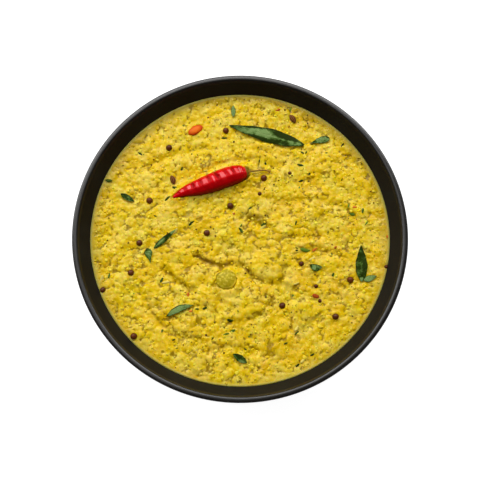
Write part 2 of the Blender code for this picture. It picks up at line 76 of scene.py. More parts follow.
def smooth(t: Array | float) -> Array:
    """An S-shaped step, 3t^2 - 2t^3, from 0 to 1 as t goes from 0 to 1."""
    t = np.clip(t, 0.0, 1.0)
    return t * t * (3.0 - 2.0 * t)


def fall(t: Array | float) -> Array:
    """The same step downwards, from 1 to 0."""
    return 1.0 - smooth(t)


def hills(x: Array, y: Array, cell: float, seed: int) -> Array:
    """Soft random hills from -1 to 1: random values on a square lattice, blended between.

    Args:
        x, y: Places in metres.
        cell: Side of the lattice's squares.
        seed: Seed of the random values.

    Returns:
        The hills' height at each place.
    """
    lattice = seeded(seed).uniform(-1.0, 1.0, (64, 64))
    u, v = x / cell + 32.0, y / cell + 32.0
    column, row = np.floor(u).astype(int) % 63, np.floor(v).astype(int) % 63
    s, t = smooth(u - np.floor(u)), smooth(v - np.floor(v))
    near = lattice[row, column] * (1 - s) + lattice[row, column + 1] * s
    far = lattice[row + 1, column] * (1 - s) + lattice[row + 1, column + 1] * s
    return near * (1 - t) + far * t


def domes(x: Array, y: Array, pitch: float, seed: int, stretch: float = 0.0) -> tuple[Array, Array]:
    """Domes of cooked lentils, one in each square of a shaken lattice; the highest dome wins.

    Args:
        x, y: Places in metres.
        pitch: Side of the lattice's squares.
        seed: Seed of the domes' places, sizes and turns.
        stretch: How much longer than wide a dome may be, as a share.

    Returns:
        The height of the highest dome, from 0 to 1, and that dome's own random number.
    """
    draw = seeded(seed)
    shake = draw.uniform(0.0, 1.0, (3, 128, 128))
    extra = draw.uniform(0.0, 1.0, (3, 128, 128))
    column, row = np.floor(x / pitch).astype(int), np.floor(y / pitch).astype(int)
    best, tone = np.zeros_like(x), np.full_like(x, 0.5)
    for i in (-1, 0, 1):
        for j in (-1, 0, 1):
            place = (row + j) % 128, (column + i) % 128
            dx = x - (column + i + 0.1 + 0.8 * shake[0][place]) * pitch
            dy = y - (row + j + 0.1 + 0.8 * shake[1][place]) * pitch
            radius = pitch * (0.55 + 0.35 * shake[2][place])
            turn = math.pi * extra[0][place]
            long = 1.0 + stretch * extra[1][place]
            u, v = dx * np.cos(turn) + dy * np.sin(turn), dy * np.cos(turn) - dx * np.sin(turn)
            apart = ((u / long) ** 2 + (v * long) ** 2) / radius**2
            dome = (0.6 + 0.4 * shake[2][place]) * np.sqrt(np.clip(1.0 - apart, 0.0, 1.0))
            tone = np.where(dome > best, extra[2][place], tone)
            best = np.maximum(best, dome)
    return best, tone


def soft_max(first: Array, second: Array, blend: float) -> Array:
    """The greater of two heights, rounded where they meet: (a + b + sqrt((a - b)^2 + blend^2)) / 2."""
    return 0.5 * (first + second + np.sqrt((first - second) ** 2 + blend**2))


def smooth_line(points: Sequence[Sequence[float]], count: int) -> Array:
    """A smooth curve through points, each span a cubic with Catmull-Rom tangents.

    Args:
        points: The points, of any number of dimensions.
        count: How many points to return.

    Returns:
        The curve's points, evenly spaced in its parameter.
    """
    knots = np.array(points, dtype=float)
    padded = np.vstack([2 * knots[0] - knots[1], knots, 2 * knots[-1] - knots[-2]])
    t = np.linspace(0.0, len(knots) - 1.0, count)
    span = np.minimum(t.astype(int), len(knots) - 2)
    f = (t - span)[:, None]
    a, b, c, d = (padded[span + k] for k in range(4))
    return 0.5 * (2 * b + (c - a) * f + (2 * a - 5 * b + 4 * c - d) * f**2 + (3 * b - a - 3 * c + d) * f**3)


def bezier(a: Pixel, b: Pixel, c: Pixel, d: Pixel, count: int) -> Array:
    """A cubic Bezier curve, (1-t)^3 a + 3t(1-t)^2 b + 3t^2(1-t) c + t^3 d, as points.

    Args:
        a, b, c, d: Its start, its two handles and its end.
        count: How many points to return.

    Returns:
        The curve's points.
    """
    t = np.linspace(0.0, 1.0, count)[:, None]
    first, second, third, fourth = (np.array(p) for p in (a, b, c, d))
    return (1 - t) ** 3 * first + 3 * t * (1 - t) ** 2 * second + 3 * t**2 * (1 - t) * third + t**3 * fourth


@dataclass(frozen=True)
class Sight:
    """The picture's line of sight: a camera on the diner's side, looking down at the mouth's middle."""

    elevation: float = math.radians(77.1)
    distance: float = 0.4
    target: tuple[float, float, float] = (0.00017, -0.00344, 0.0527)
    focal_px: float = 893.1
    picture_px: float = 480.0

    @property
    def back(self) -> Array:
        """Unit vector from the target to the camera."""
        return np.array([0.0, -math.cos(self.elevation), math.sin(self.elevation)])

    @property
    def eye(self) -> Array:
        """Where the camera stands."""
        return np.array(self.target) + self.distance * self.back

    def at(self, pixel: Pixel, height: float) -> Array:
        """Where the line through a pixel meets a height: eye + ray (height - eye_z) / ray_z.

        Args:
            pixel: Column and row in the picture.
            height: The height in metres.

        Returns:
            The place as an array of x and y.
        """
        up = np.array([0.0, math.sin(self.elevation), math.cos(self.elevation)])
        across, down = pixel[0] - self.picture_px / 2, pixel[1] - self.picture_px / 2
        ray = -self.focal_px * self.back + across * np.array([1.0, 0.0, 0.0]) - down * up
        return (self.eye + ray * (height - self.eye[2]) / ray[2])[:2]


SIGHT = Sight()


# ---- Meshes ----


def linked(name: str, data: bpy.types.ID) -> bpy.types.Object:
    """A new object of that name in the scene."""
    made = bpy.data.objects.new(name, data)
    bpy.context.scene.collection.objects.link(made)
    return made


def grid_quads(rows: int, columns: int, wrap: bool = False) -> Array:
    """Four-cornered faces of a grid whose vertices run row by row.

    Args:
        rows: Number of rows of vertices.
        columns: Number of vertices in a row.
        wrap: Whether the last column joins the first.

    Returns:
        An array of faces of four vertex numbers.
    """
    i = np.arange(rows - 1)[:, None] * columns
    j = np.arange(columns if wrap else columns - 1)[None, :]
    k = (j + 1) % columns
    return packed(i + j, i + k, i + columns + k, i + columns + j).reshape(-1, 4)


@dataclass
class Shape:
    """A closed mesh as arrays: vertices, faces, and numbers that a finish reads at each vertex."""

    vertices: Array
    faces: list[Array]
    marks: dict[str, Array] = field(default_factory=dict)

    def triangles(self) -> Array:
        """All faces cut into triangles from their first corners."""
        fans = [f[:, [0, k, k + 1]] for f in self.faces for k in range(1, f.shape[1] - 1)]
        return np.concatenate(fans)

    def volume(self) -> float:
        """Signed volume, the sum of a . (b x c) / 6 over the triangles: positive where faces point out."""
        a, b, c = (self.vertices[self.triangles()[:, k]] for k in range(3))
        return float(np.sum(a * np.cross(b, c)) / 6.0)

    def piece(
        self, name: str, finish: Material, slot: str, nodes: Sequence[str] = (), flat: bool = False
    ) -> None:
        """Makes the shape an object that rides on the part.

        Args:
            name: The piece's name.
            finish: Its material.
            slot: The name of a material slot; not used.
            nodes: The CAD nodes that it stands for.
            flat: Whether its faces are shaded flat.
        """
        centred = Shape(self.vertices - self.vertices.mean(axis=0), self.faces)
        faces = [f[:, ::-1] for f in self.faces] if centred.volume() < 0 else self.faces
        loops = np.concatenate([f.ravel() for f in faces]).astype(np.int32)
        sizes = np.concatenate([np.full(len(f), f.shape[1]) for f in faces])
        starts = np.concatenate([[0], np.cumsum(sizes)[:-1]]).astype(np.int32)
        mesh = bpy.data.meshes.new(name)
        mesh.vertices.add(len(self.vertices))
        mesh.vertices.foreach_set("co", self.vertices.astype(np.float32).ravel())
        mesh.loops.add(len(loops))
        mesh.loops.foreach_set("vertex_index", loops)
        mesh.polygons.add(len(starts))
        mesh.polygons.foreach_set("loop_start", starts)
        mesh.update(calc_edges=True)
        mesh.validate()
        for mark, values in self.marks.items():
            layer = mesh.attributes.new(mark, "FLOAT", "POINT")
            layer.data.foreach_set("value", np.asarray(values, dtype=np.float32))
        mesh.materials.append(finish)
        (mesh.shade_flat if flat else mesh.shade_smooth)()
        made = linked(name, mesh)
        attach(made, "root")
        if nodes:
            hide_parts(*nodes)
        LOG.info("%s: %d triangles", name, int(np.sum(sizes - 2)))


def loft(sections: Array, marks: dict[str, Array] | None = None) -> Shape:
    """A closed skin over closed loops, with a middle point at each end.

    Args:
        sections: Loops of points, as an array of (loops, points, 3).
        marks: Numbers at each point, as arrays of (loops, points).

    Returns:
        The shape.
    """
    rows, columns = sections.shape[:2]
    ends = np.stack([sections[0].mean(axis=0), sections[-1].mean(axis=0)])
    vertices = np.concatenate([sections.reshape(-1, 3), ends])
    j = np.arange(columns)
    k = (j + 1) % columns
    first = packed(rows * columns, k, j)
    base = (rows - 1) * columns
    last = packed(rows * columns + 1, base + j, base + k)
    flat = {m: np.concatenate([v.ravel(), [v[0].mean(), v[-1].mean()]]) for m, v in (marks or {}).items()}
    return Shape(vertices, [grid_quads(rows, columns, wrap=True), first, last], flat)


def lathe(profile: Array, turns: int) -> Shape:
    """Turns a section about Z; its first and last points lie on the axis.

    Args:
        profile: Points as (radius, height).
        turns: Number of steps round the axis.

    Returns:
        The shape.
    """
    angle = circle(turns)
    radius, height = profile[1:-1, :1], profile[1:-1, 1:]
    shape = loft(packed(radius * np.cos(angle), radius * np.sin(angle), height))
    shape.vertices[-2:] = [(0.0, 0.0, profile[0, 1]), (0.0, 0.0, profile[-1, 1])]
    return shape


def ball(sides: int, rings: int) -> Shape:
    """A unit ball of sides x rings faces: a half circle, (sin b, cos b), turned about Z."""
    b = math.pi * np.arange(rings + 1) / rings
    return lathe(packed(np.sin(b), np.cos(b)), sides)


def about(axis: int, angles: Array) -> Array:
    """Turning matrices about an axis, 0 to 2 for X to Z, as an array of (count, 3, 3)."""
    turns = np.tile(np.eye(3), (len(angles), 1, 1))
    i, j = (axis + 1) % 3, (axis + 2) % 3
    turns[:, i, i] = turns[:, j, j] = np.cos(angles)
    turns[:, j, i] = np.sin(angles)
    turns[:, i, j] = -turns[:, j, i]
    return turns


def turns_of(spins: Array, tilts: Array, leans: Array) -> Array:
    """Turning matrices: lean about X, then tilt about Y, then spin about Z."""
    return about(2, spins) @ about(1, tilts) @ about(0, leans)


def scattered(
    base: Shape, places: Array, sizes: Array, turns: Array, marks: dict[str, Array] | None = None
) -> Shape:
    """Copies of one shape in one mesh.

    Args:
        base: The shape that is repeated.
        places: The copies' middles, (count, 3).
        sizes: Their scales along their own axes, (count, 3).
        turns: Their turning matrices, (count, 3, 3).
        marks: One number for each copy, which all its vertices get.

    Returns:
        The copies as one shape; the base's own marks are repeated.
    """
    count, each = len(places), len(base.vertices)
    grown = base.vertices[None] * sizes[:, None, :]
    vertices = np.einsum("nij,nvj->nvi", turns, grown) + places[:, None, :]
    steps = np.arange(count)[:, None, None] * each
    faces = [(f[None] + steps).reshape(-1, f.shape[1]) for f in base.faces]
    kept = {m: np.tile(v, count) for m, v in base.marks.items()}
    kept.update({m: np.repeat(v, each) for m, v in (marks or {}).items()})
    return Shape(vertices.reshape(-1, 3), faces, kept)


# ---- Finishes ----


class Value:
    """One output socket of a node tree. Arithmetic on it adds the Math nodes that work it out."""

    def __init__(self, nodes: "Nodes", socket: bpy.types.NodeSocket) -> None:
        """Keeps the socket and the tree that further nodes go into."""
        self.nodes = nodes
        self.socket = socket

    def math(self, operation: str, *numbers: "Number") -> "Value":
        """Adds one Math node, of that operation, on the numbers."""
        return self.nodes.node("ShaderNodeMath", {"operation": operation}, dict(enumerate(numbers)))

    def __add__(self, other: "Number") -> "Value":
        """Sum."""
        return self.math("ADD", self, other)

    def __radd__(self, other: float) -> "Value":
        """Sum, from the right."""
        return self.math("ADD", other, self)

    def __sub__(self, other: "Number") -> "Value":
        """Difference."""
        return self.math("SUBTRACT", self, other)

    def __rsub__(self, other: float) -> "Value":
        """Difference, from the right."""
        return self.math("SUBTRACT", other, self)

    def __mul__(self, other: "Number") -> "Value":
        """Product."""
        return self.math("MULTIPLY", self, other)

    def __rmul__(self, other: float) -> "Value":
        """Product, from the right."""
        return self.math("MULTIPLY", other, self)

    def __abs__(self) -> "Value":
        """Size without the sign."""
        return self.math("ABSOLUTE", self)

    def sine(self) -> "Value":
        """Sine."""
        return self.math("SINE", self)

    def at_least(self, least: "Number") -> "Value":
        """The greater of this and another."""
        return self.math("MAXIMUM", self, least)

    def step(self, low: float, high: float) -> "Value":
        """A smooth step from 0 at low to 1 at high."""
        sockets = {"Value": self, "From Min": low, "From Max": high}
        return self.nodes.node("ShaderNodeMapRange", {"interpolation_type": "SMOOTHSTEP"}, sockets)


Number = Value | float


class Nodes:
    """Fills one node tree, node by node."""

    def __init__(self, tree: bpy.types.NodeTree) -> None:
        """Keeps the tree, emptied."""
        self.tree = tree
        self.tree.nodes.clear()

    def node(
        self,
        kind: str,
        settings: dict[str, object] | None = None,
        sockets: dict[str | int, object] | None = None,
        out: str | int = 0,
    ) -> Value:
        """Adds a node.

        Args:
            kind: The node's type.
            settings: Its settings, set first.
            sockets: A value or a link for each input, by name or number; None leaves it as it is.
            out: Which output to return, by name or number.

        Returns:
            That output.
        """
        made = self.tree.nodes.new(kind)
        for key, value in (settings or {}).items():
            setattr(made, key, value)
        for key, value in (sockets or {}).items():
            socket = made.inputs[key]
            if isinstance(value, Value):
                self.tree.links.new(value.socket, socket)
            elif isinstance(value, tuple) and socket.type == "RGBA":
                socket.default_value = (*value, 1.0)
            elif value is not None:
                socket.default_value = value
        return Value(self, made.outputs[out])

    def end(self, kind: str, shader: Value) -> None:
        """Adds the tree's output node and links a shader to it."""
        output = self.tree.nodes.new(kind)
        self.tree.links.new(shader.socket, output.inputs["Surface"])


class Paint(Nodes):
    """Builds one material, node by node."""

    def __init__(self, name: str) -> None:
        """Starts an empty material of that name."""
        self.material = bpy.data.materials.new(name)
        self.material.use_nodes = True
        super().__init__(self.material.node_tree)

    def places(self) -> Value:
        """The surface's own places in metres."""
        return self.node("ShaderNodeTexCoord", out="Object")

    def mark(self, name: str) -> Value:
        """A number that the mesh holds at each vertex."""
        return self.node("ShaderNodeAttribute", {"attribute_name": name}, out="Fac")

    def noise(
        self, size: float, detail: float = 2.0, rough: float = 0.5, twist: float = 0.0, out: str = "Fac"
    ) -> Value:
        """Cloudy noise from 0 to 1.

        Args:
            size: Size of its largest clouds in metres.
            detail: How many finer layers it has.
            rough: How strong they are.
            twist: How much it is distorted.
            out: "Fac" for one number, "Color" for three independent ones.

        Returns:
            The noise.
        """
        sockets = {"Scale": 1.0 / size, "Detail": detail, "Roughness": rough, "Distortion": twist}
        return self.node("ShaderNodeTexNoise", {}, {"Vector": self.places(), **sockets}, out)

    def cells(self, size: float, warp: float, out: str = "Distance") -> Value:
        """Upright cells round random places, read at place + 2 warp noise.

        Args:
            size: The cells' size in metres.
            warp: How far the places are shifted, in metres.
            out: "Distance" from a cell's middle in cell sizes, or "Color" for a random number of each cell.

        Returns:
            That number.
        """
        shift = self.noise(size / 0.9, 1.0, out="Color")
        sockets = {0: shift, 1: (2.0 * warp, 2.0 * warp, 2.0 * warp), 2: self.places()}
        moved = self.node("ShaderNodeVectorMath", {"operation": "MULTIPLY_ADD"}, sockets)
        sockets = {"Vector": moved, "Scale": 1.0 / size}
        return self.node("ShaderNodeTexVoronoi", {"voronoi_dimensions": "2D"}, sockets, out)

    def mix(self, colour: Value | Colour, *layers: tuple[Value, Colour], how: str = "MIX") -> Value:
        """Lays colours over one another.

        Args:
            colour: The lowest colour.
            *layers: How much of each of the others shows, and its colour, from the lowest up.
            how: The blend type.

        Returns:
            The colour.
        """
        for share, over in layers:
            sockets = {0: share, 6: colour, 7: over}
            colour = self.node("ShaderNodeMix", {"data_type": "RGBA", "blend_type": how}, sockets, 2)
        return colour

    def bump(self, height: Value, depth: float, strength: float, under: Value | None = None) -> Value:
        """A normal tilted by a height.

        Args:
            height: The height, from 0 to 1.
            depth: What 1 is in metres.
            strength: How much of it shows.
            under: The normal that it adds to.

        Returns:
            The normal.
        """
        sockets = {"Height": height, "Distance": depth, "Strength": strength, "Normal": under}
        return self.node("ShaderNodeBump", {}, sockets)

    def surface(
        self, colour: Value | Colour, rough: Number, normal: Value | None, gloss: float, **more: object
    ) -> Material:
        """Ends the material with a Principled surface.

        Args:
            colour: Its base colour.
            rough: Its roughness.
            normal: Its normal.
            gloss: Its specular level.
            **more: Its other inputs, with an underscore in a name for each space.

        Returns:
            The material.
        """
        sockets = {"Base Color": colour, "Roughness": rough, "Normal": normal, "Specular IOR Level": gloss}
        sockets.update({name.replace("_", " "): value for name, value in more.items()})
        self.end("ShaderNodeOutputMaterial", self.node("ShaderNodeBsdfPrincipled", {}, sockets))
        return self.material


@dataclass(frozen=True)
class Stoneware:
    """Matte black glaze over stoneware; the lip is smoother and glossier, where the glaze has thinned."""

    # The body's warm tint is partly a painted reflection of the yellow curry on the black glaze; the rest is
    # the glaze's own colour.
    body: Colour = (0.0058, 0.004, 0.0018)
    mottled: Colour = (0.0095, 0.009, 0.0066)
    lip_from: float = 0.0523
    lip_to: float = 0.0534

    def material(self) -> Material:
        """The finish as a material."""
        paint = Paint("black_stoneware")
        height = paint.node("ShaderNodeSeparateXYZ", {}, {0: paint.places()}, "Z")
        lip = height.step(self.lip_from, self.lip_to)
        clouds = paint.noise(0.022, 4.0, 0.6)
        grit = paint.noise(0.0011, 2.0, 0.6)
        colour = paint.mix(self.body, (clouds.step(0.45, 0.75), self.mottled))
        rough = 0.52 + 0.1 * clouds - 0.24 * lip
        normal = paint.bump(grit, 0.00006, 0.5)
        return paint.surface(colour, rough, normal, 0.28, Coat_Weight=lip, Coat_Roughness=0.3)


@dataclass(frozen=True)
class LentilCurry:
    """Cooked yellow lentils in their sauce.

    Golden grains, paler where the mash is pale or creamy and where painted light lies on lumps, lie under
    smooth cream-yellow sauce, with painted shade in the ochre gaps and a painted highlight on the top of
    some grains. The colour is multiplied by painted shade in a shaded crease and between beads, by a fine
    dark speckle, by the wall's painted shadow near it, and by warm or cool in wide patches.
    """

    grain: Colour = (0.815, 0.542, 0.001)
    lemon: Colour = (0.92, 0.638, 0.003)
    cream: Colour = (0.97, 0.718, 0.105)
    # Painted shade for the gaps between grains and between clumps.
    deep: Colour = (0.4, 0.245, 0.001)
    sauce: Colour = (0.9, 0.645, 0.055)
    edge: Colour = (0.46, 0.4, 0.085)
    warm: Colour = (1.0, 0.9, 1.0)
    cool: Colour = (0.95, 1.0, 1.0)
    # Painted shade between beads, and a fine random dark speckle.
    bead_shade_and_speck: Colour = (0.75, 0.72, 0.5)
    # Painted shade in the shaded creases.
    crease_shade: Colour = (0.5, 0.42, 0.3)
    # Painted shadow of the bowl's wall.
    wall_shadow: Colour = (0.59, 0.57, 0.46)
    # Painted highlight.
    painted_highlight: Colour = (1.0, 0.8, 0.06)
    bead: float = 0.0018

    def material(self) -> Material:
        """The finish as a material."""
        paint = Paint("lentil_curry")
        tone, gap, sauce, edge, shade = map(paint.mark, ("tone", "gap", "sauce", "edge", "shade"))
        patch = paint.noise(0.009, 3.0, 0.6)
        milk = paint.noise(0.005, 2.0, 0.55)
        hue = paint.noise(0.01, 1.0)
        mush = paint.noise(0.0016)
        fine = paint.noise(0.0005)
        apart = paint.cells(self.bead, 0.25 * self.bead)
        bead = (1.0 - apart * apart * 2.6).at_least(0.0)
        own = paint.cells(self.bead, 0.25 * self.bead, "Color")
        # Painted highlight on the tops of some beads.
        glint = bead.step(0.6, 0.95) * own.step(0.38, 0.62) * 0.5
        # The deep colour, where the gap mark lies, is painted shade in the gaps between grains and clumps.
        colour = paint.mix(
            self.grain,
            ((0.6 * tone + 0.3 * own + 0.8 * (patch - 0.5)).step(0.05, 0.75), self.lemon),
            ((milk + 0.06 * (own - 0.5) + 0.06 * (mush - 0.5)).step(0.44, 0.66) * 0.7, self.cream),
            (sauce * 0.6, self.sauce),
            ((gap + 0.5 * (mush - 0.5)).step(0.15, 0.9) * 0.94, self.deep),
        )
        # Painted shade in the shaded creases and between beads, and a fine random dark speckle.
        colour = paint.mix(
            colour,
            (gap.step(0.9, 1.5), self.crease_shade),
            (bead.step(0.5, 0.0) * 0.28 * (1.0 - 0.7 * sauce), self.bead_shade_and_speck),
            ((fine - 0.5).step(0.03, 0.22) * 0.2, self.bead_shade_and_speck),
            how="MULTIPLY",
        )
        # Painted highlight on the glints and wherever the tone passes 1.
        colour = paint.mix(colour, (glint.at_least(tone.step(1.0, 1.5) * 0.75), self.painted_highlight))
        # The shade mark multiplies in the painted shadow of the bowl's wall; warm and cool are random
        # patches.
        colour = paint.mix(
            colour,
            (hue.step(0.5, 0.32) * 0.4, self.warm),
            (hue.step(0.5, 0.68), self.cool),
            (shade, self.wall_shadow),
            how="MULTIPLY",
        )
        normal = paint.bump(mush, 0.00014, 0.5)
        normal = paint.bump(bead * (1.0 - 0.8 * sauce), 0.00012, 0.6, normal)
        return paint.surface(
            paint.mix(colour, (edge, self.edge)),
            0.21 - 0.03 * sauce + 0.12 * (mush - 0.5),
            paint.bump(fine, 0.00004, 0.5, normal),
            0.185,
            Subsurface_Weight=0.5,
            Subsurface_Radius=(1.0, 0.7, 0.15),
            Subsurface_Scale=0.0006,
        )


@dataclass(frozen=True)
class ChilliSkin:
    """The glossy, wrinkled skin of a dried red chilli.

    Its colour holds a painted highlight where the gloss strokes lie, and painted shade in the furrows and on
    the underside.
    """

    red: Colour = (0.76, 0.0014, 0.004)
    painted_highlight: Colour = (0.86, 0.006, 0.009)
    # Dark red for the skin's own patches, and painted shade in the furrows and underneath.
    dark: Colour = (0.17, 0.0004, 0.001)
    sheen: Colour = (1.0, 0.24, 0.25)

    def material(self) -> Material:
        """The finish as a material."""
        paint = Paint("chilli_skin")
        clouds = paint.noise(0.004, 3.0, 0.6)
        wrinkle = paint.noise(0.0012, 3.0, 0.6, 0.4)
        furrow, gloss, under = map(paint.mark, ("furrow", "gloss", "under"))
        # Painted highlight where the gloss strokes lie, painted shade in the furrows and on the underside.
        colour = paint.mix(
            self.red,
            (clouds.step(0.45, 0.8) * 0.3, self.dark),
            (gloss * 0.8, self.painted_highlight),
            (furrow * 0.7, self.dark),
            (under * 0.85, self.dark),
        )
        return paint.surface(
            colour,
            0.22 + 0.08 * wrinkle + 0.3 * under,
            paint.bump(wrinkle, 0.00005, 0.5),
            0.25,
            Specular_Tint=self.sheen,
            Coat_Weight=gloss,
            Coat_Roughness=0.09,
            Coat_IOR=1.6,
        )


@dataclass(frozen=True)
class ChilliStalk:
    """The chilli's dry calyx and stalk, greenish at the pod and brown at the cut end, with dark streaks."""

    green: Colour = (0.3, 0.17, 0.022)
    brown: Colour = (0.46, 0.24, 0.025)
    dark: Colour = (0.08, 0.04, 0.006)

    def material(self) -> Material:
        """The finish as a material."""
        paint = Paint("chilli_stalk")
        along, streak = paint.mark("along"), paint.noise(0.0009, 3.0, 0.6)
        colour = paint.mix(
            self.green,
            ((along + 0.5 * (streak - 0.5)).step(0.3, 1.0), self.brown),
            (streak.step(0.5, 0.75) * 0.6, self.dark),
        )
        return paint.surface(colour, 0.5, paint.bump(streak, 0.0002, 0.5), 0.1)


@dataclass(frozen=True)
class LeafGreen:
    """A fried curry leaf: dark green margins and folds in painted shade, a painted sheen where it lies flat,
    and pale veins.
    """

    # The darkest green is painted shade on margins and folds.
    dark: Colour = (0.02, 0.038, 0.0008)
    green: Colour = (0.072, 0.14, 0.018)
    # A painted sheen.
    bloom: Colour = (0.21, 0.33, 0.095)
    vein: Colour = (0.36, 0.46, 0.16)
    brown: Colour = (0.1, 0.055, 0.004)

    def material(self) -> Material:
        """The finish as a material."""
        paint = Paint("leaf_green")
        along, across, bloom = map(paint.mark, ("along", "across", "bloom"))
        edge = abs(across)
        clouds = paint.noise(0.002, 3.0, 0.6)
        fine = paint.noise(0.0006, 2.0, 0.6)
        vein = (along * 46.0 - edge * 5.0).sine().step(0.8, 1.0) * (1.0 - edge.step(0.7, 1.0))
        rib = 1.0 - edge.step(0.02, 0.08)
        # Painted sheen where the leaf lies flat, mottled by noise; low values leave painted shade.
        mottled = bloom + 2.3 * (clouds - 0.5) + 0.8 * (fine - 0.5)
        colour = paint.mix(
            self.dark,
            (mottled.step(0.05, 0.5), self.green),
            (mottled.step(0.4, 0.95), self.bloom),
            ((vein * 0.3 + rib * 0.25) * bloom.step(0.1, 0.9), self.vein),
            (edge.step(0.86, 0.97) * clouds.step(0.5, 0.6) * 0.7, self.brown),
        )
        normal = paint.bump(vein * 0.6 - rib + 0.5 * clouds, 0.00012, 0.8)
        return paint.surface(colour, 0.34 + 0.12 * fine, paint.bump(fine, 0.00008, 0.5, normal), 0.05)


@dataclass(frozen=True)
class TwoTone:
    """A finish that goes from one colour to another with a mark, and that fine noise dents.

    Where the noise blurs the mark, a smooth step from low to high of both is used, and otherwise the mark.
    """

    label: str
    first: Colour
    second: Colour
    mark: str = "shade"
    grain: float = 0.0005
    detail: float = 2.0
    blur: float = 0.5
    low: float = 0.0
    high: float = 1.0
    rough: float = 0.5
    uneven: float = 0.1
    depth: float = 0.00008
    strength: float = 0.5
    gloss: float = 0.06

    def material(self) -> Material:
        """The finish as a material."""
        paint = Paint(self.label)
        share, fine = paint.mark(self.mark), paint.noise(self.grain, self.detail, 0.6)
        if self.blur:
            share = (share + self.blur * (fine - 0.5)).step(self.low, self.high)
        rough = self.rough + self.uneven * fine if self.uneven else self.rough
        colour = paint.mix(self.first, (share, self.second))
        return paint.surface(colour, rough, paint.bump(fine, self.depth, self.strength), self.gloss)


class Spice(Enum):
    """The finishes of seeds, flecks and the ripe chilli: dimpled, ridged, crushed, chopped or oily."""

    MUSTARD = TwoTone(
        "mustard_coat", (0.055, 0.013, 0.004), (0.23, 0.055, 0.006), grain=0.00035, blur=0.0, rough=0.2,
        depth=0.00005, strength=0.6, gloss=0.3,
    )  # fmt: skip
    CUMIN = TwoTone(
        "cumin_coat", (0.105, 0.027, 0.004), (0.3, 0.12, 0.026), "ridge", 0.0004, blur=0.4, low=0.4,
        high=0.9, rough=0.48, uneven=0.0, depth=0.00006, gloss=0.1,
    )  # fmt: skip
    PEPPER = TwoTone("pepper", (0.12, 0.055, 0.003), (0.46, 0.25, 0.012))
    HERB = TwoTone("herb", (0.018, 0.034, 0.001), (0.16, 0.28, 0.02), rough=0.4)
    FLAKE = TwoTone("chilli_flake", (0.36, 0.045, 0.005), (0.8, 0.24, 0.025), rough=0.35)
    HUSK = TwoTone("husk", (0.6, 0.5, 0.04), (0.88, 0.71, 0.15), rough=0.4)
    RIPE_CHILLI = TwoTone(
        "ripe_chilli_flesh", (0.95, 0.19, 0.004), (0.72, 0.07, 0.002), "out", 0.0018, 3.0, low=0.45,
        high=0.95, rough=0.35, depth=0.0002, strength=0.4, gloss=0.15,
    )  # fmt: skip

    def material(self) -> Material:
        """The finish as a material."""
        return self.value.material()


@dataclass(frozen=True)
class ChayoteFlesh:
    """Cooked chayote, olive and a little clear: dark blots, pale specks far off, and a rind line near by."""

    olive: Colour = (0.64, 0.5, 0.012)
    dark: Colour = (0.48, 0.36, 0.006)
    rind: Colour = (0.84, 0.68, 0.06)

    def material(self) -> Material:
        """The finish as a material."""
        paint = Paint("chayote_flesh")
        out, near, streak = paint.mark("out"), paint.mark("near"), paint.noise(0.0022, 3.0, 0.6, 0.8)
        blot, speck = paint.noise(0.004), paint.noise(0.0012, 1.0)
        rim = out.step(0.76, 0.82) * (1.0 - out.step(0.86, 0.93))
        colour = paint.mix(
            self.dark,
            (streak.step(0.4, 0.65), self.olive),
            (blot.step(0.48, 0.58) * 0.6, self.dark),
            (speck.step(0.52, 0.62) * (1.0 - near) * 0.8, self.rind),
            (rim * near * 0.6, self.rind),
        )
        return paint.surface(
            colour,
            0.22 + 0.1 * streak,
            paint.bump(streak, 0.0003, 0.5),
            0.15,
            Subsurface_Weight=0.3,
            Subsurface_Radius=(1.0, 0.8, 0.2),
            Subsurface_Scale=0.0015,
        )


# ---- The bowl ----


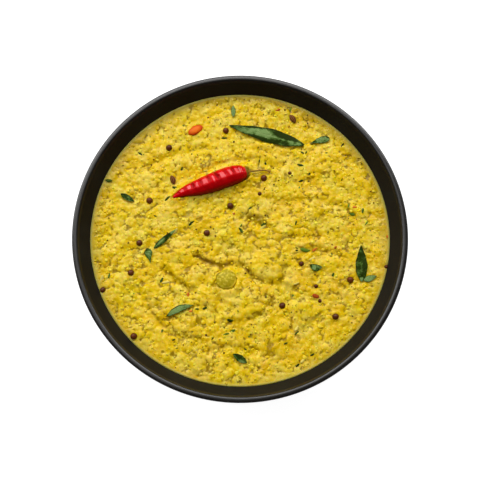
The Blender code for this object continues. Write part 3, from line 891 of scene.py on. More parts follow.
@dataclass
class Bowl:
    """The stoneware bowl, turned about Z.

    The inner wall is floor + rise (r / R)^inner_power, and the outer side is the same with the base and
    outer_power. The corner fields shape the small curve between the lip and the side, and the recess fields
    the step inside the foot ring.
    """

    rim_radius: float = 0.075
    height: float = 0.054
    lip_radius: float = 0.0013
    wall_inset: float = 0.0006
    lip_start: float = 0.0724
    crown_bend: float = 0.0065
    corner_width: float = 0.00035
    corner_drop: float = 0.00042
    corner_from: tuple[float, float] = (0.00022, -0.00009)
    corner_to: float = 0.0002
    floor: float = 0.0065
    base: float = 0.0025
    inner_power: float = 2.0
    outer_power: float = 2.3
    foot_outer: float = 0.031
    foot_inner: float = 0.0265
    foot_edge: float = 0.0008
    foot_flat: float = 0.0004
    side_gap: float = 0.0006
    recess_width: float = 0.0013
    recess_drop: float = 0.0004
    turns: int = 256

    @property
    def lip_height(self) -> float:
        """Height of the middle of the lip's rounding."""
        return self.height - self.lip_radius

    @property
    def inner_radius(self) -> float:
        """Radius of the inner wall at the lip."""
        return self.rim_radius - 2 * self.lip_radius - self.wall_inset

    def wall_height(self, radius: Array | float) -> Array:
        """Height of the inner wall at a radius."""
        return self.floor + (self.lip_height - self.floor) * (radius / self.inner_radius) ** self.inner_power

    def wall_radius(self, height: Array | float) -> Array:
        """Radius of the inner wall at a height."""
        share = (height - self.floor) / (self.lip_height - self.floor)
        return self.inner_radius * share ** (1.0 / self.inner_power)

    def side_height(self, radius: Array | float) -> Array:
        """Height of the outer side at a radius."""
        return self.base + (self.lip_height - self.base) * (radius / self.rim_radius) ** self.outer_power

    def profile(self) -> Array:
        """The section as (radius, height), from the middle of the inside over the lip and back to the axis.

        The wall turns level along an arc of one radius, the crown falls away as a parabola, and a Bezier
        curve rounds the corner. A quarter circle ends the side at the foot, another leads into the recess.

        Returns:
            The section's points.
        """
        inner_r = self.lip_start * np.linspace(0.0, 1.0, 42) ** 0.8
        inner = packed(inner_r, self.wall_height(inner_r))
        slope = self.inner_power * (inner[-1, 1] - self.floor) / self.lip_start
        tilt = math.atan(slope) * np.linspace(1.0, 0.0, 14)
        bend = (self.height - inner[-1, 1]) / (1.0 - math.cos(tilt[0]))
        crown, out = self.lip_start + bend * math.sin(tilt[0]), self.rim_radius
        rise = packed(crown - bend * np.sin(tilt), self.height - bend * (1.0 - np.cos(tilt)))
        brow_r = np.linspace(crown, out - self.corner_width, 8)
        brow = packed(brow_r, self.height - (brow_r - crown) ** 2 / self.crown_bend)
        end = brow[-1]
        low = end[1] - self.corner_drop
        corner = bezier(end, end + self.corner_from, (out, end[1] - self.corner_to), (out, low), 6)
        side_r = np.linspace(out, self.foot_outer + self.side_gap, 34)
        side = packed(side_r, self.side_height(side_r))
        edge, base = self.foot_edge, self.base
        turn = 0.5 * math.pi * np.linspace(0.0, 1.0, 5)
        back = turn[::-1]
        outer_foot = packed(self.foot_outer - edge + edge * np.cos(turn), edge - edge * np.sin(turn))
        inner_foot = packed(self.foot_inner - edge * np.sin(back), edge - edge * np.cos(back))
        flat = [(self.foot_inner + self.foot_flat, 0.0)]
        recess = [
            (self.foot_inner - edge, base - self.recess_drop),
            (self.foot_inner - self.recess_width, base),
            (0.0, base),
        ]
        lip = [rise[1:], brow[1:], corner[1:]]
        return np.concatenate([inner, *lip, side, outer_foot, flat, inner_foot[1:], recess])

    def build(self) -> None:
        """Makes the bowl, which stands for its node."""
        shape = lathe(self.profile(), self.turns)
        shape.piece("bowl_stoneware", Stoneware().material(), "stoneware", ["bowl"])


# ---- The curry's broad form, as in the solids ----


@dataclass
class Relief:
    """The curry's open surface without its toppings: lumps of chayote, creases, a slow swirl and clumps.

    A lump is its pixel, radius and height, and a crease is a line of pixels. A shaded crease, which is
    lowered and painted with shade, is its strength, half its width and its line. A painted light spot is
    its strength, below 0 for painted shade, its radius and its pixel.
    """

    bowl: Bowl
    level: float = 0.0474
    most_rise: float = 0.0021
    rest_sink: float = 0.0001
    wall_calm: float = 0.0045
    grain_pitch: float = 0.0029
    grain_rise: float = 0.0011
    swirl_pitch: float = 0.0058
    swirl_rise: float = 0.00014
    clump_pitch: float = 0.0045
    clump_rise: float = 0.0008
    clump_middle: Pixel = (236, 276)
    clump_reach: float = 0.052
    swirl_centre: Pixel = (240, 252)
    crease_depth: float = 0.0006
    crease_reach: float = 0.0022
    seam_depth: float = 0.00045
    lumps: tuple[tuple[Pixel, float, float], ...] = (
        ((222, 228), 0.0072, 0.0013), ((177, 254), 0.0055, 0.0013), ((265, 261), 0.0095, 0.0015),
        ((246, 303), 0.01, 0.0014), ((188, 277), 0.0048, 0.0009), ((150, 292), 0.005, 0.0009),
        ((204, 297), 0.0045, 0.0008), ((298, 306), 0.0066, 0.001), ((193, 322), 0.0056, 0.0008),
        ((186, 164), 0.0062, 0.0006), ((141, 180), 0.0055, 0.0007), ((217, 150), 0.0064, 0.0006),
        ((325, 162), 0.007, 0.0008), ((286, 230), 0.0055, 0.0007), ((335, 232), 0.006, 0.0007),
        ((272, 348), 0.0065, 0.0007), ((200, 358), 0.006, 0.0006), ((338, 290), 0.006, 0.0007),
        ((292, 171), 0.005, 0.0006), ((122, 235), 0.0055, 0.0006),
    )  # fmt: skip
    creases: tuple[tuple[Pixel, ...], ...] = (
        ((199, 257), (212, 262), (222, 266), (241, 264)),
        ((243, 266), (253, 277), (274, 281), (297, 289), (312, 297)),
        ((167, 268), (176, 280), (187, 291)),
        ((140, 289), (148, 307), (161, 323), (179, 334), (198, 338)),
        ((268, 197), (284, 201), (302, 198)), ((228, 319), (243, 321), (256, 316)),
        ((150, 163), (175, 153), (202, 147)), ((203, 171), (224, 162), (250, 158)),
        ((322, 199), (344, 206), (362, 222)), ((246, 215), (256, 223), (266, 224)),
        ((300, 251), (318, 247), (338, 254)), ((166, 271), (180, 283), (196, 290)),
        ((210, 349), (230, 345), (254, 348)), ((286, 330), (301, 326), (314, 316)),
    )  # fmt: skip
    # Lines of painted shade: each crease is lowered a little and darkened with painted shade.
    shaded_creases: tuple[tuple[float, float, tuple[Pixel, ...]], ...] = (
        (1.0, 0.0011, ((197, 255), (208, 261), (222, 265), (232, 262))),
        (1.0, 0.001, ((246, 268), (254, 277), (263, 281))),
        (1.25, 0.002, ((250, 217), (257, 218), (263, 221))),
        (0.9, 0.001, ((299, 248), (312, 249), (325, 251))),
        (0.8, 0.0009, ((166, 271), (174, 275), (183, 284))),
        (0.6, 0.0008, ((146, 298), (152, 312), (163, 325), (179, 334), (198, 338))),
        (0.45, 0.0007, ((263, 281), (275, 284), (290, 288), (302, 293))),
        (0.45, 0.0006, ((268, 197), (284, 201), (302, 198))),
        (0.35, 0.0006, ((228, 319), (243, 321), (256, 316))),
        (0.35, 0.0006, ((203, 171), (224, 162), (250, 158))),
        (0.35, 0.0006, ((210, 349), (230, 345), (254, 348))),
    )  # fmt: skip
    # Spots of painted light on lump tops; those below 0 are painted shade in troughs.
    painted_light_spots: tuple[tuple[float, float, Pixel], ...] = (
        (1.0, 0.0048, (223, 230)), (0.8, 0.006, (243, 295)), (0.6, 0.0045, (181, 252)),
        (0.4, 0.0035, (200, 294)), (0.5, 0.0035, (214, 247)), (0.5, 0.0045, (295, 305)),
        (0.4, 0.005, (263, 252)), (-0.7, 0.006, (300, 279)), (-0.7, 0.006, (275, 203)),
        (-0.5, 0.005, (318, 262)),
    )  # fmt: skip

    def at(self, pixel: Pixel) -> Array:
        """Where a pixel's line of sight meets the curry's level."""
        return SIGHT.at(pixel, self.level)

    def away(self, x: Array, y: Array, pixel: Pixel) -> Array:
        """Distance of each place from where a pixel's line of sight meets the level."""
        middle = self.at(pixel)
        return np.hypot(x - middle[0], y - middle[1])

    def crease(self, x: Array, y: Array, pixels: Sequence[Pixel]) -> Array:
        """Signed distance to a line, that to the nearest of its spans, positive on its left.

        Args:
            x, y: Places in metres.
            pixels: The line's points in the picture.

        Returns:
            The distance in metres.
        """
        line = [self.at(pixel) for pixel in pixels]
        best, side = np.full_like(x, 1.0), np.ones_like(x)
        for (ax, ay), (bx, by) in zip(line, line[1:]):
            dx, dy = bx - ax, by - ay
            t = np.clip(((x - ax) * dx + (y - ay) * dy) / (dx * dx + dy * dy), 0.0, 1.0)
            apart = np.hypot(x - ax - t * dx, y - ay - t * dy)
            nearer = apart < best
            side = np.where(nearer, np.sign(dx * (y - ay) - dy * (x - ax)), side)
            best = np.where(nearer, apart, best)
        return best * side

    def broad(self, x: Array, y: Array) -> Array:
        """Rise over the level without single grains.

        It is the sum of hills, a mound for each lump, a sine along a spiral for the swirl, and for each
        crease a trough, -exp(-(d + 0.45)^2 / 0.5), with a bank beside it, exp(-(d - 1)^2 / 0.9).

        Args:
            x, y: Places in metres.

        Returns:
            The rise in metres.
        """
        rise = 0.00045 * hills(x, y, 0.0085, 11) + 0.0003 * hills(x, y, 0.0042, 12)
        for pixel, radius, height in self.lumps:
            rise = rise + height * fall(self.away(x, y, pixel) / radius / 1.35)
        middle = self.at(self.swirl_centre)
        turn = np.arctan2(y - middle[1], x - middle[0])
        warp = 0.0022 * hills(x, y, 0.016, 13)
        phase = (self.away(x, y, self.swirl_centre) + warp) / self.swirl_pitch + turn / (math.tau)
        strength = smooth(0.5 + 0.7 * hills(x, y, 0.02, 14))
        rise = rise + self.swirl_rise * strength * np.sin(math.tau * phase)
        for pixels in self.creases:
            apart = self.crease(x, y, pixels) / self.crease_reach
            trough = -self.crease_depth * np.exp(-((apart + 0.45) ** 2) / 0.5)
            bank = 0.55 * self.crease_depth * np.exp(-((apart - 1.0) ** 2) / 0.9)
            rise = rise + trough + bank
        return rise

    def clumps(self, x: Array, y: Array) -> tuple[Array, Array]:
        """The clumps that the mash breaks into: domes over warped places, strongest round clump_middle.

        Args:
            x, y: Places in metres.

        Returns:
            Their rise in metres, and how deep each place lies between them, from 0 to 1.
        """
        warp_x = x + 0.0012 * hills(x, y, 0.0046, 15) + 0.0004 * hills(x, y, 0.0019, 16)
        warp_y = y + 0.0012 * hills(x, y, 0.0046, 17) + 0.0004 * hills(x, y, 0.0019, 18)
        dome, _ = domes(warp_x, warp_y, self.clump_pitch, 19, 0.4)
        apart = self.away(x, y, self.clump_middle) + 0.01 * hills(x, y, 0.016, 20)
        strength = 0.25 + 0.75 * fall((apart - 0.55 * self.clump_reach) / (0.5 * self.clump_reach))
        return self.clump_rise * strength * (dome - 0.72), strength * smooth((0.48 - dome) / 0.32)

    def seams(self, x: Array, y: Array) -> Array:
        """How deep each place lies in a shaded crease, for its dip and its painted shade: strength exp(-(d /
        half)^2), uneven along it.

        Args:
            x, y: Places in metres.

        Returns:
            The depth, from 0 to the crease's strength.
        """
        deep = np.zeros_like(x)
        for strength, half, pixels in self.shaded_creases:
            deep = np.maximum(deep, strength * np.exp(-((self.crease(x, y, pixels) / half) ** 2)))
        return deep * (0.5 + 0.5 * smooth(0.6 + 0.9 * hills(x, y, 0.0035, 65)))

    def painted_light(self, x: Array, y: Array) -> Array:
        """How much painted light lies on the mash: the sum of a smooth mound on each painted light spot.

        Args:
            x, y: Places in metres.

        Returns:
            The painted light, below 0 for painted shade.
        """
        pale = np.zeros_like(x)
        for strength, radius, pixel in self.painted_light_spots:
            apart = self.away(x, y, pixel) + 0.0008 * hills(x, y, 0.003, 66)
            pale = pale + strength * fall(apart / (1.25 * radius))
        return pale

    def calm(self, x: Array, y: Array) -> Array:
        """How freely the surface rises: 0 at the wall, 1 a little way in."""
        return smooth((self.bowl.wall_radius(self.level) - np.hypot(x, y)) / self.wall_calm)

    def limited(self, x: Array, y: Array, rise: Array) -> Array:
        """A rise held below most_rise by m tanh(rise / m), and flat at the wall."""
        return self.calm(x, y) * self.most_rise * np.tanh(rise / self.most_rise)

    def plain(self, x: Array, y: Array) -> Array:
        """Height without grains."""
        return self.level + self.limited(x, y, self.broad(x, y) - self.rest_sink)

    def resting(self, pixel: Pixel, reach: float = 0.0006) -> float:
        """Height at which a topping rests at a pixel: the plain height's mean over a small cross."""
        x, y = self.at(pixel)
        xs = x + reach * np.array([0.0, 1.0, -1.0, 0.0, 0.0])
        ys = y + reach * np.array([0.0, 0.0, 0.0, 1.0, -1.0])
        return float(np.mean(self.plain(xs, ys)))


# ---- Toppings ----


@dataclass
class Leaf:
    """One curry leaf, thin and nearly flat on the curry.

    Half its width is w/2 sin(pi t^peak)^ends at t along its midrib, times a factor for each side. The midrib
    bows sideways, and the blade is folded along it, twisted and arched. Blots are oval spots of painted
    sheen or of painted shade, each (t, across, reach in t, reach across, strength).
    """

    relief: Relief
    node: str
    stalk: Pixel
    tip: Pixel
    width: float
    arch: float
    twist: float
    fold: float
    peak: float = 0.85
    ends: float = 0.9
    bow: float = 0.0
    sides: tuple[float, float] = (1.0, 1.0)
    # How much painted sheen the blade shows along its middle.
    bloom: float = 0.7
    blots: tuple[Row, ...] = ()
    thickness: float = 0.00026
    lift: float = 0.0007
    clearance: float = 0.00008
    groove: float = 0.0001
    vein_rise: float = 0.00006
    stations: int = 60
    around: int = 40

    def __post_init__(self) -> None:
        """Works out the midrib's place and directions."""
        self.start, end = self.relief.at(self.stalk), self.relief.at(self.tip)
        self.length = float(np.linalg.norm(end - self.start))
        self.along = (end - self.start) / self.length
        self.over = np.array([-self.along[1], self.along[0]])
        middle = (0.5 * (self.stalk[0] + self.tip[0]), 0.5 * (self.stalk[1] + self.tip[1]))
        self.bridge = [self.relief.resting(p) for p in (self.stalk, middle, self.tip)]

    def half_width(self, t: Array, side: Array | float = 0.0) -> Array:
        """Half the blade's width at t from its stalk end to its tip, on the side whose sign is given."""
        factor = np.where(np.asarray(side) > 0, self.sides[0], self.sides[1])
        blade = 0.5 * self.width * np.sin(math.pi * t**self.peak) ** self.ends
        return factor * (blade + 0.008 * self.width)

    def surface(self, t: Array, across: Array) -> Array:
        """Height of the blade's middle layer: a bridge over the curry, arched, folded, twisted and wavy.

        Args:
            t: Shares of the way from the stalk end to the tip.
            across: Distances from the midrib, positive on its left.

        Returns:
            The height in metres.
        """
        low, middle, high = self.bridge
        bridge = low * (1 - t) ** 2 + 2 * middle * t * (1 - t) + high * t**2
        tilt = self.fold * np.abs(across) + self.twist * across
        wave = 0.14 * np.sin(math.tau * (1.3 * t + 0.2)) * across
        return bridge + self.lift + self.arch * np.sin(math.pi * t) + tilt + wave

    def bed(self, x: Array, y: Array) -> tuple[Array, Array]:
        """The height just under the blade, and how far each place lies beyond its edge.

        Args:
            x, y: Places in metres.

        Returns:
            The height, for a place beyond the blade that at its nearest edge, and the distance.
        """
        dx, dy = x - self.start[0], y - self.start[1]
        u = dx * self.along[0] + dy * self.along[1]
        t = np.clip(u / self.length, 0.0, 1.0)
        v = dx * self.over[0] + dy * self.over[1] - self.bow * self.length * np.sin(math.pi * t)
        half = self.half_width(t, v)
        beyond = np.maximum(np.abs(v) - half, np.abs(u - 0.5 * self.length) - 0.5 * self.length)
        under = self.surface(t, np.clip(v, -half, half)) - 0.5 * self.thickness - self.clearance
        return under, beyond

    def bloom_at(self, t: Array, v: Array) -> Array:
        """How much painted sheen the blade shows: most along the middle, none at the margins, plus the
        blots.

        Args:
            t: Shares of the way from the stalk end to the tip.
            v: Shares of the way from the midrib to the margins.

        Returns:
            The painted sheen, 0 for none.
        """
        margin = fall((np.abs(v) - 0.7) / 0.36)
        shade = self.bloom * margin * smooth(t / 0.06) * smooth((1 - t) / 0.1)
        for place, over, reach, spread, strength in self.blots:
            apart = np.hypot((t - place) / reach, (v - over) / spread)
            shade = shade + strength * fall((apart - 0.65) / 0.55)
        return shade

    def build(self, green: Material) -> None:
        """Makes the leaf, which stands for its node: a thin loop carried along the midrib.

        Args:
            green: The leaf's finish.
        """
        t = 0.002 + 0.996 * smooth(np.linspace(0.02, 0.98, self.stations)) ** 0.9
        angle = math.tau * (np.arange(self.around) + 0.5) / self.around
        v = np.sign(np.cos(angle)) * np.abs(np.cos(angle)) ** 0.85
        face = np.sign(np.sin(angle))
        tt, vv = np.meshgrid(t, v, indexing="ij")
        ripple = 1.0 + 0.035 * np.sin(23.0 * tt + 2.0 * np.sign(vv)) * np.abs(vv)
        across = vv * self.half_width(tt, vv) * ripple
        edge = np.sqrt(np.clip(1.0 - vv**2, 0.0, 1.0)) * 0.5 + 0.25
        thick = 0.5 * self.thickness * edge * face * np.abs(np.sin(angle)) ** 0.3
        groove = -self.groove * np.exp(-((vv / 0.07) ** 2)) * (face > 0)
        sway = across + self.bow * self.length * np.sin(math.pi * tt)
        place = self.start + self.along * (tt * self.length)[..., None] + self.over * sway[..., None]
        veins = self.vein_rise * np.sin(46.0 * tt - 5.0 * np.abs(vv)) * (1 - np.abs(vv))
        height = self.surface(tt, across) + thick + groove + veins
        sections = np.concatenate([place, height[..., None]], axis=-1)
        marks = {"along": tt, "across": vv, "bloom": self.bloom_at(tt, vv)}
        loft(sections, marks).piece(self.node + "_blade", green, "leaf", [self.node])


@dataclass
class Chilli:
    """The dried red chilli: a ribbed pod carried along a smooth line, with a calyx and a stalk."""

    relief: Relief
    middle: tuple[Pixel, ...] = (
        (173, 197.0), (186, 191.2), (200, 186.7), (214, 181.7), (228, 176.6), (238, 173.8),
        (244.8, 172.4),
    )  # fmt: skip
    radii: tuple[float, ...] = (0.0006, 0.0026, 0.0038, 0.0044, 0.0045, 0.0041, 0.0027)
    lift: float = 0.36
    stalk: tuple[Pixel, ...] = ((244.8, 172.4), (250, 171.5), (257, 170.6), (264, 170.2), (270, 171.4))
    stalk_radius: float = 0.00045
    stalk_reach: float = 0.0012
    bank_rise: float = 0.001
    bank_reach: float = 0.0034
    clearance: float = 0.0001
    calyx_radius: float = 0.0021
    facet_turn: float = math.radians(8)
    facet_half: float = math.radians(19)
    stations: int = 220
    around: int = 84
    stem_stations: int = 70
    stem_around: int = 24

    def line(self, count: int) -> tuple[Array, Array]:
        """Points along the pod's middle from its tip to its shoulder, and its radius at each."""
        heights = [self.relief.level + self.lift * radius for radius in self.radii]
        knots = [(*SIGHT.at(p, z), z, r) for p, z, r in zip(self.middle, heights, self.radii)]
        line = smooth_line(knots, count)
        return line[:, :3], line[:, 3]

    def stalk_line(self, count: int) -> Array:
        """Points along the stalk, from the pod's shoulder out over the curry."""
        shoulder = self.line(36)[0][-1][2]
        points = []
        for k, pixel in enumerate(self.stalk):
            t = k / (len(self.stalk) - 1)
            height = shoulder * (1 - t) + (self.relief.resting(pixel) + self.stalk_reach) * t
            points.append((*SIGHT.at(pixel, height), height))
        return smooth_line(points, count)

    def hollow(self, x: Array, y: Array) -> Array:
        """Highest that the curry may stand under the pod and its stalk, the lowest of balls along them.

        Args:
            x, y: Places in metres.

        Returns:
            The height in metres, and 1e3 away from them.
        """
        line, radii = self.line(72)
        stalk = self.stalk_line(12)
        points = np.concatenate([line, stalk])
        reaches = np.concatenate([radii, np.full(len(stalk), self.stalk_reach)])
        under = np.full_like(x, 1e3)
        for (px, py, pz), radius in zip(points, reaches):
            apart = np.hypot(x - px, y - py)
            dip = pz - np.sqrt(np.clip(radius**2 - apart**2, 0.0, None)) - self.clearance
            under = np.where(apart < radius, np.minimum(under, dip), under)
        return under

    def bank(self, x: Array, y: Array) -> Array:
        """Rise of the curry that the pod has pushed up beside it: bank_rise at the pod, 0 at bank_reach."""
        line, radii = self.line(72)
        beyond = np.full_like(x, 1.0)
        for (px, py, _), radius in zip(line, radii):
            beyond = np.minimum(beyond, np.hypot(x - px, y - py) - radius)
        return self.bank_rise * fall(beyond / self.bank_reach)

    @staticmethod
    def rings(line: Array, radii: Array, swell: Array) -> Array:
        """Loops of points round a line: line + radius swell (up cos a + side sin a).

        Args:
            line: The line's points, (count, 3).
            radii: The radius at each.
            swell: A factor on the radius for each point, (count, around), the first of a loop on top.

        Returns:
            The loops, (count, around, 3).
        """
        ahead = np.gradient(line, axis=0)
        ahead /= np.linalg.norm(ahead, axis=1)[:, None]
        side = np.cross(np.array([0.0, 0.0, 1.0]), ahead)
        side /= np.linalg.norm(side, axis=1)[:, None]
        up = np.cross(ahead, side)
        angle = circle(swell.shape[1])[None, :, None]
        spokes = up[:, None, :] * np.cos(angle) + side[:, None, :] * np.sin(angle)
        return line[:, None, :] + spokes * (radii[:, None] * swell)[..., None]

    def pod(self) -> None:
        """Makes the pod: a tapering tube with ribs, a flat top, a furrow, facets and a crumpled shoulder.

        The ribs are sharp ridges where a phase that grows along the pod, and slants round it, is a whole
        number. The gloss, which is also a painted highlight, lies in strokes between the ribs in a band
        along the top, and in blotches where the skin is crumpled; the furrow and under marks carry painted
        shade.
        """
        line, radii = self.line(self.stations)
        t = np.linspace(0.0, 1.0, self.stations)[:, None]
        turned = (circle(self.around)[None, :] + math.pi) % math.tau - math.pi
        wobble = 0.35 * np.sin(5.0 * turned + 7.0 * t) + 0.25 * np.sin(3.1 * turned - 11.0 * t)
        phase = 10.5 * t**0.94 + 0.08 * wobble + 0.16 * turned
        apart = np.abs(phase - np.round(phase))
        uneven = 0.8 + 0.3 * np.sin(2.3 * np.round(phase) + 0.7)
        rib = uneven * (1.0 - np.clip(apart / 0.3, 0.0, 1.0)) ** 1.15
        upper = np.exp(-(((turned - 0.45) / 0.75) ** 2))
        shoulder = smooth((t - 0.8) / 0.06)
        dent = -0.15 * upper * smooth(t / 0.08) * (1.0 - 0.75 * shoulder) * rib
        facet_edge = math.cos(self.facet_half)
        chord = facet_edge / np.maximum(np.cos(turned - self.facet_turn), facet_edge)
        flat = (chord - 1.0) * smooth(t / 0.12)
        furrow = -0.035 * np.exp(-(((turned + 0.55) / 0.25) ** 2)) * smooth(t / 0.2) * smooth((1 - t) / 0.1)
        facet = 0.008 * np.cos(3 * turned + 2.0 * t) * smooth(t / 0.15)
        crackle = np.sin(84 * t + 14 * turned) * np.sin(59 * t - 12 * turned)
        swell = 1.0 + dent + flat + furrow + facet + 0.022 * crackle * shoulder
        each = np.floor(phase)
        slide = 0.2 * np.sin(1.9 * each + 0.6)
        band = smooth((turned + 0.48 - slide) / 0.18) * fall((turned - 0.55 - slide) / 0.3)
        thin = 0.27 + 0.09 * np.sin(2.6 * each + 1.0)
        stroke = smooth((apart - thin) / 0.1) * (0.8 + 0.2 * np.sin(4.1 * each))
        stroke = stroke * fall((t - 0.78) / 0.03)
        blotch = smooth((crackle + 0.25) / 0.35) * smooth((t - 0.79) / 0.03)
        # furrow is painted shade in the grooves, gloss the coat and a painted highlight, under painted shade
        # on the underside.
        marks = {
            "furrow": np.clip(-(dent + furrow) / 0.11, 0.0, 1.0),
            "gloss": band * np.maximum(stroke, blotch) * smooth(t / 0.06),
            "under": smooth((-0.55 - turned) / 0.8) + smooth((turned - 1.9) / 0.4) + 0.0 * t,
        }
        pod = loft(self.rings(line, radii, swell), marks)
        pod.piece("chilli_pod", ChilliSkin().material(), "chilli", ["chilli"])

    def stem(self) -> None:
        """Makes the calyx and stalk: a lobed cap that narrows to a thin stalk with a thicker cut end."""
        count, sides = self.stem_stations, self.stem_around
        line = self.stalk_line(count)
        back = line[0] - (line[1] - line[0]) * np.linspace(3.0, 0.6, 4)[:, None]
        line = np.concatenate([back, line])
        share = np.linspace(-4.0 / count, 1.0, len(line))
        cap = self.calyx_radius * 1.1 * fall((share - 0.03) / 0.22)
        thin = self.stalk_radius * (0.85 + 0.75 * smooth((share - 0.86) / 0.12))
        radii = np.maximum(cap, thin)
        radii[-1] *= 0.7
        angle, along = circle(sides)[None, :], share[:, None]
        lobes = 1.0 + 0.1 * np.cos(5 * angle) * fall(along / 0.2)
        rough = 1.0 + 0.05 * np.sin(40 * along + 3 * angle)
        stem = loft(self.rings(line, radii, lobes * rough), {"along": np.repeat(along, sides, axis=1)})
        stem.piece("chilli_stem", ChilliStalk().material(), "chilli", ["chilli"])

    def build(self) -> None:
        """Makes the pod and its stem."""
        self.pod()
        self.stem()


@dataclass
class Morsel:
    """A rounded piece of vegetable half sunk in the curry: an ellipsoid with soft dents."""

    relief: Relief
    node: str
    pixel: Pixel
    size: tuple[float, float, float]
    turn: float
    slot: str
    bank_rise: float = 0.0
    bank_reach: float = 0.003
    lap: float = 0.0
    clearance: float = 0.0001

    def beyond_middle(self, y: Array) -> Array:
        """How far a point lies towards the piece's far side: 1 at its far edge, -1 at its near edge."""
        return np.clip((y - self.relief.at(self.pixel)[1]) / (0.5 * self.size[0]), -1.0, 1.0)

    def apart(self, x: Array, y: Array) -> Array:
        """Distance from the piece's middle, 1 at its edge."""
        middle, c, s = self.relief.at(self.pixel), math.cos(self.turn), math.sin(self.turn)
        dx, dy = x - middle[0], y - middle[1]
        u, v = dx * c + dy * s, dy * c - dx * s
        return np.hypot(2.0 * u / self.size[0], 2.0 * v / self.size[1])

    def bank(self, x: Array, y: Array) -> Array:
        """Rise of the curry round the piece: bank_rise at its edge, 0 at bank_reach from it."""
        beyond = np.abs(self.apart(x, y) + self.lap * self.beyond_middle(y) - 0.96) * 0.5 * self.size[0]
        return self.bank_rise * fall(beyond / self.bank_reach)

    def hollow(self, x: Array, y: Array) -> Array:
        """Highest that the curry may stand under the piece: its lower side, where curry doesn't lap over it.

        Args:
            x, y: Places in metres.

        Returns:
            The height in metres, and 1e3 away from the piece and where curry laps over it.
        """
        apart = self.apart(x, y) ** 2
        belly = 0.5 * self.size[2] * np.sqrt(np.clip(1.0 - apart, 0.0, 1.0))
        bite = 0.2 * hills(x, y, 0.0026, 25) + 0.06 * hills(x, y, 0.0011, 26)
        covered = apart + bite + self.lap * self.beyond_middle(y) >= 0.8
        return np.where(covered, 1e3, self.relief.resting(self.pixel) - belly - self.clearance)

    def build(self, finish: Material, dents: float) -> None:
        """Makes the piece, which stands for its node.

        Args:
            finish: Its material.
            dents: How deep its dents are, as a share of its size.
        """
        shape = ball(72, 36)
        u, v, _ = shape.vertices.T
        waves = np.sin(5.1 * u + 1.3) * np.sin(4.3 * v + 0.4) + 0.5 * np.sin(9.7 * u - 7.9 * v)
        c, s = math.cos(self.turn), math.sin(self.turn)
        near = smooth((0.45 * (u * c - v * s) - 0.9 * (u * s + v * c) - 0.1) / 0.6)
        shape.marks = {"out": np.hypot(u, v), "near": near}
        shape.vertices = shape.vertices * (1.0 - dents * (1.0 + waves))[:, None]
        place = np.array([[*self.relief.at(self.pixel), self.relief.resting(self.pixel)]])
        made = scattered(shape, place, 0.5 * np.array([self.size]), about(2, np.array([self.turn])))
        made.piece(self.node + "_flesh", finish, self.slot, [self.node])


@dataclass
class Seed:
    """A seed or fleck: its place in the picture, length, heading and shade from dark to light."""

    pixel: Pixel
    length: float
    heading: float
    shade: float


# ---- The curry ----


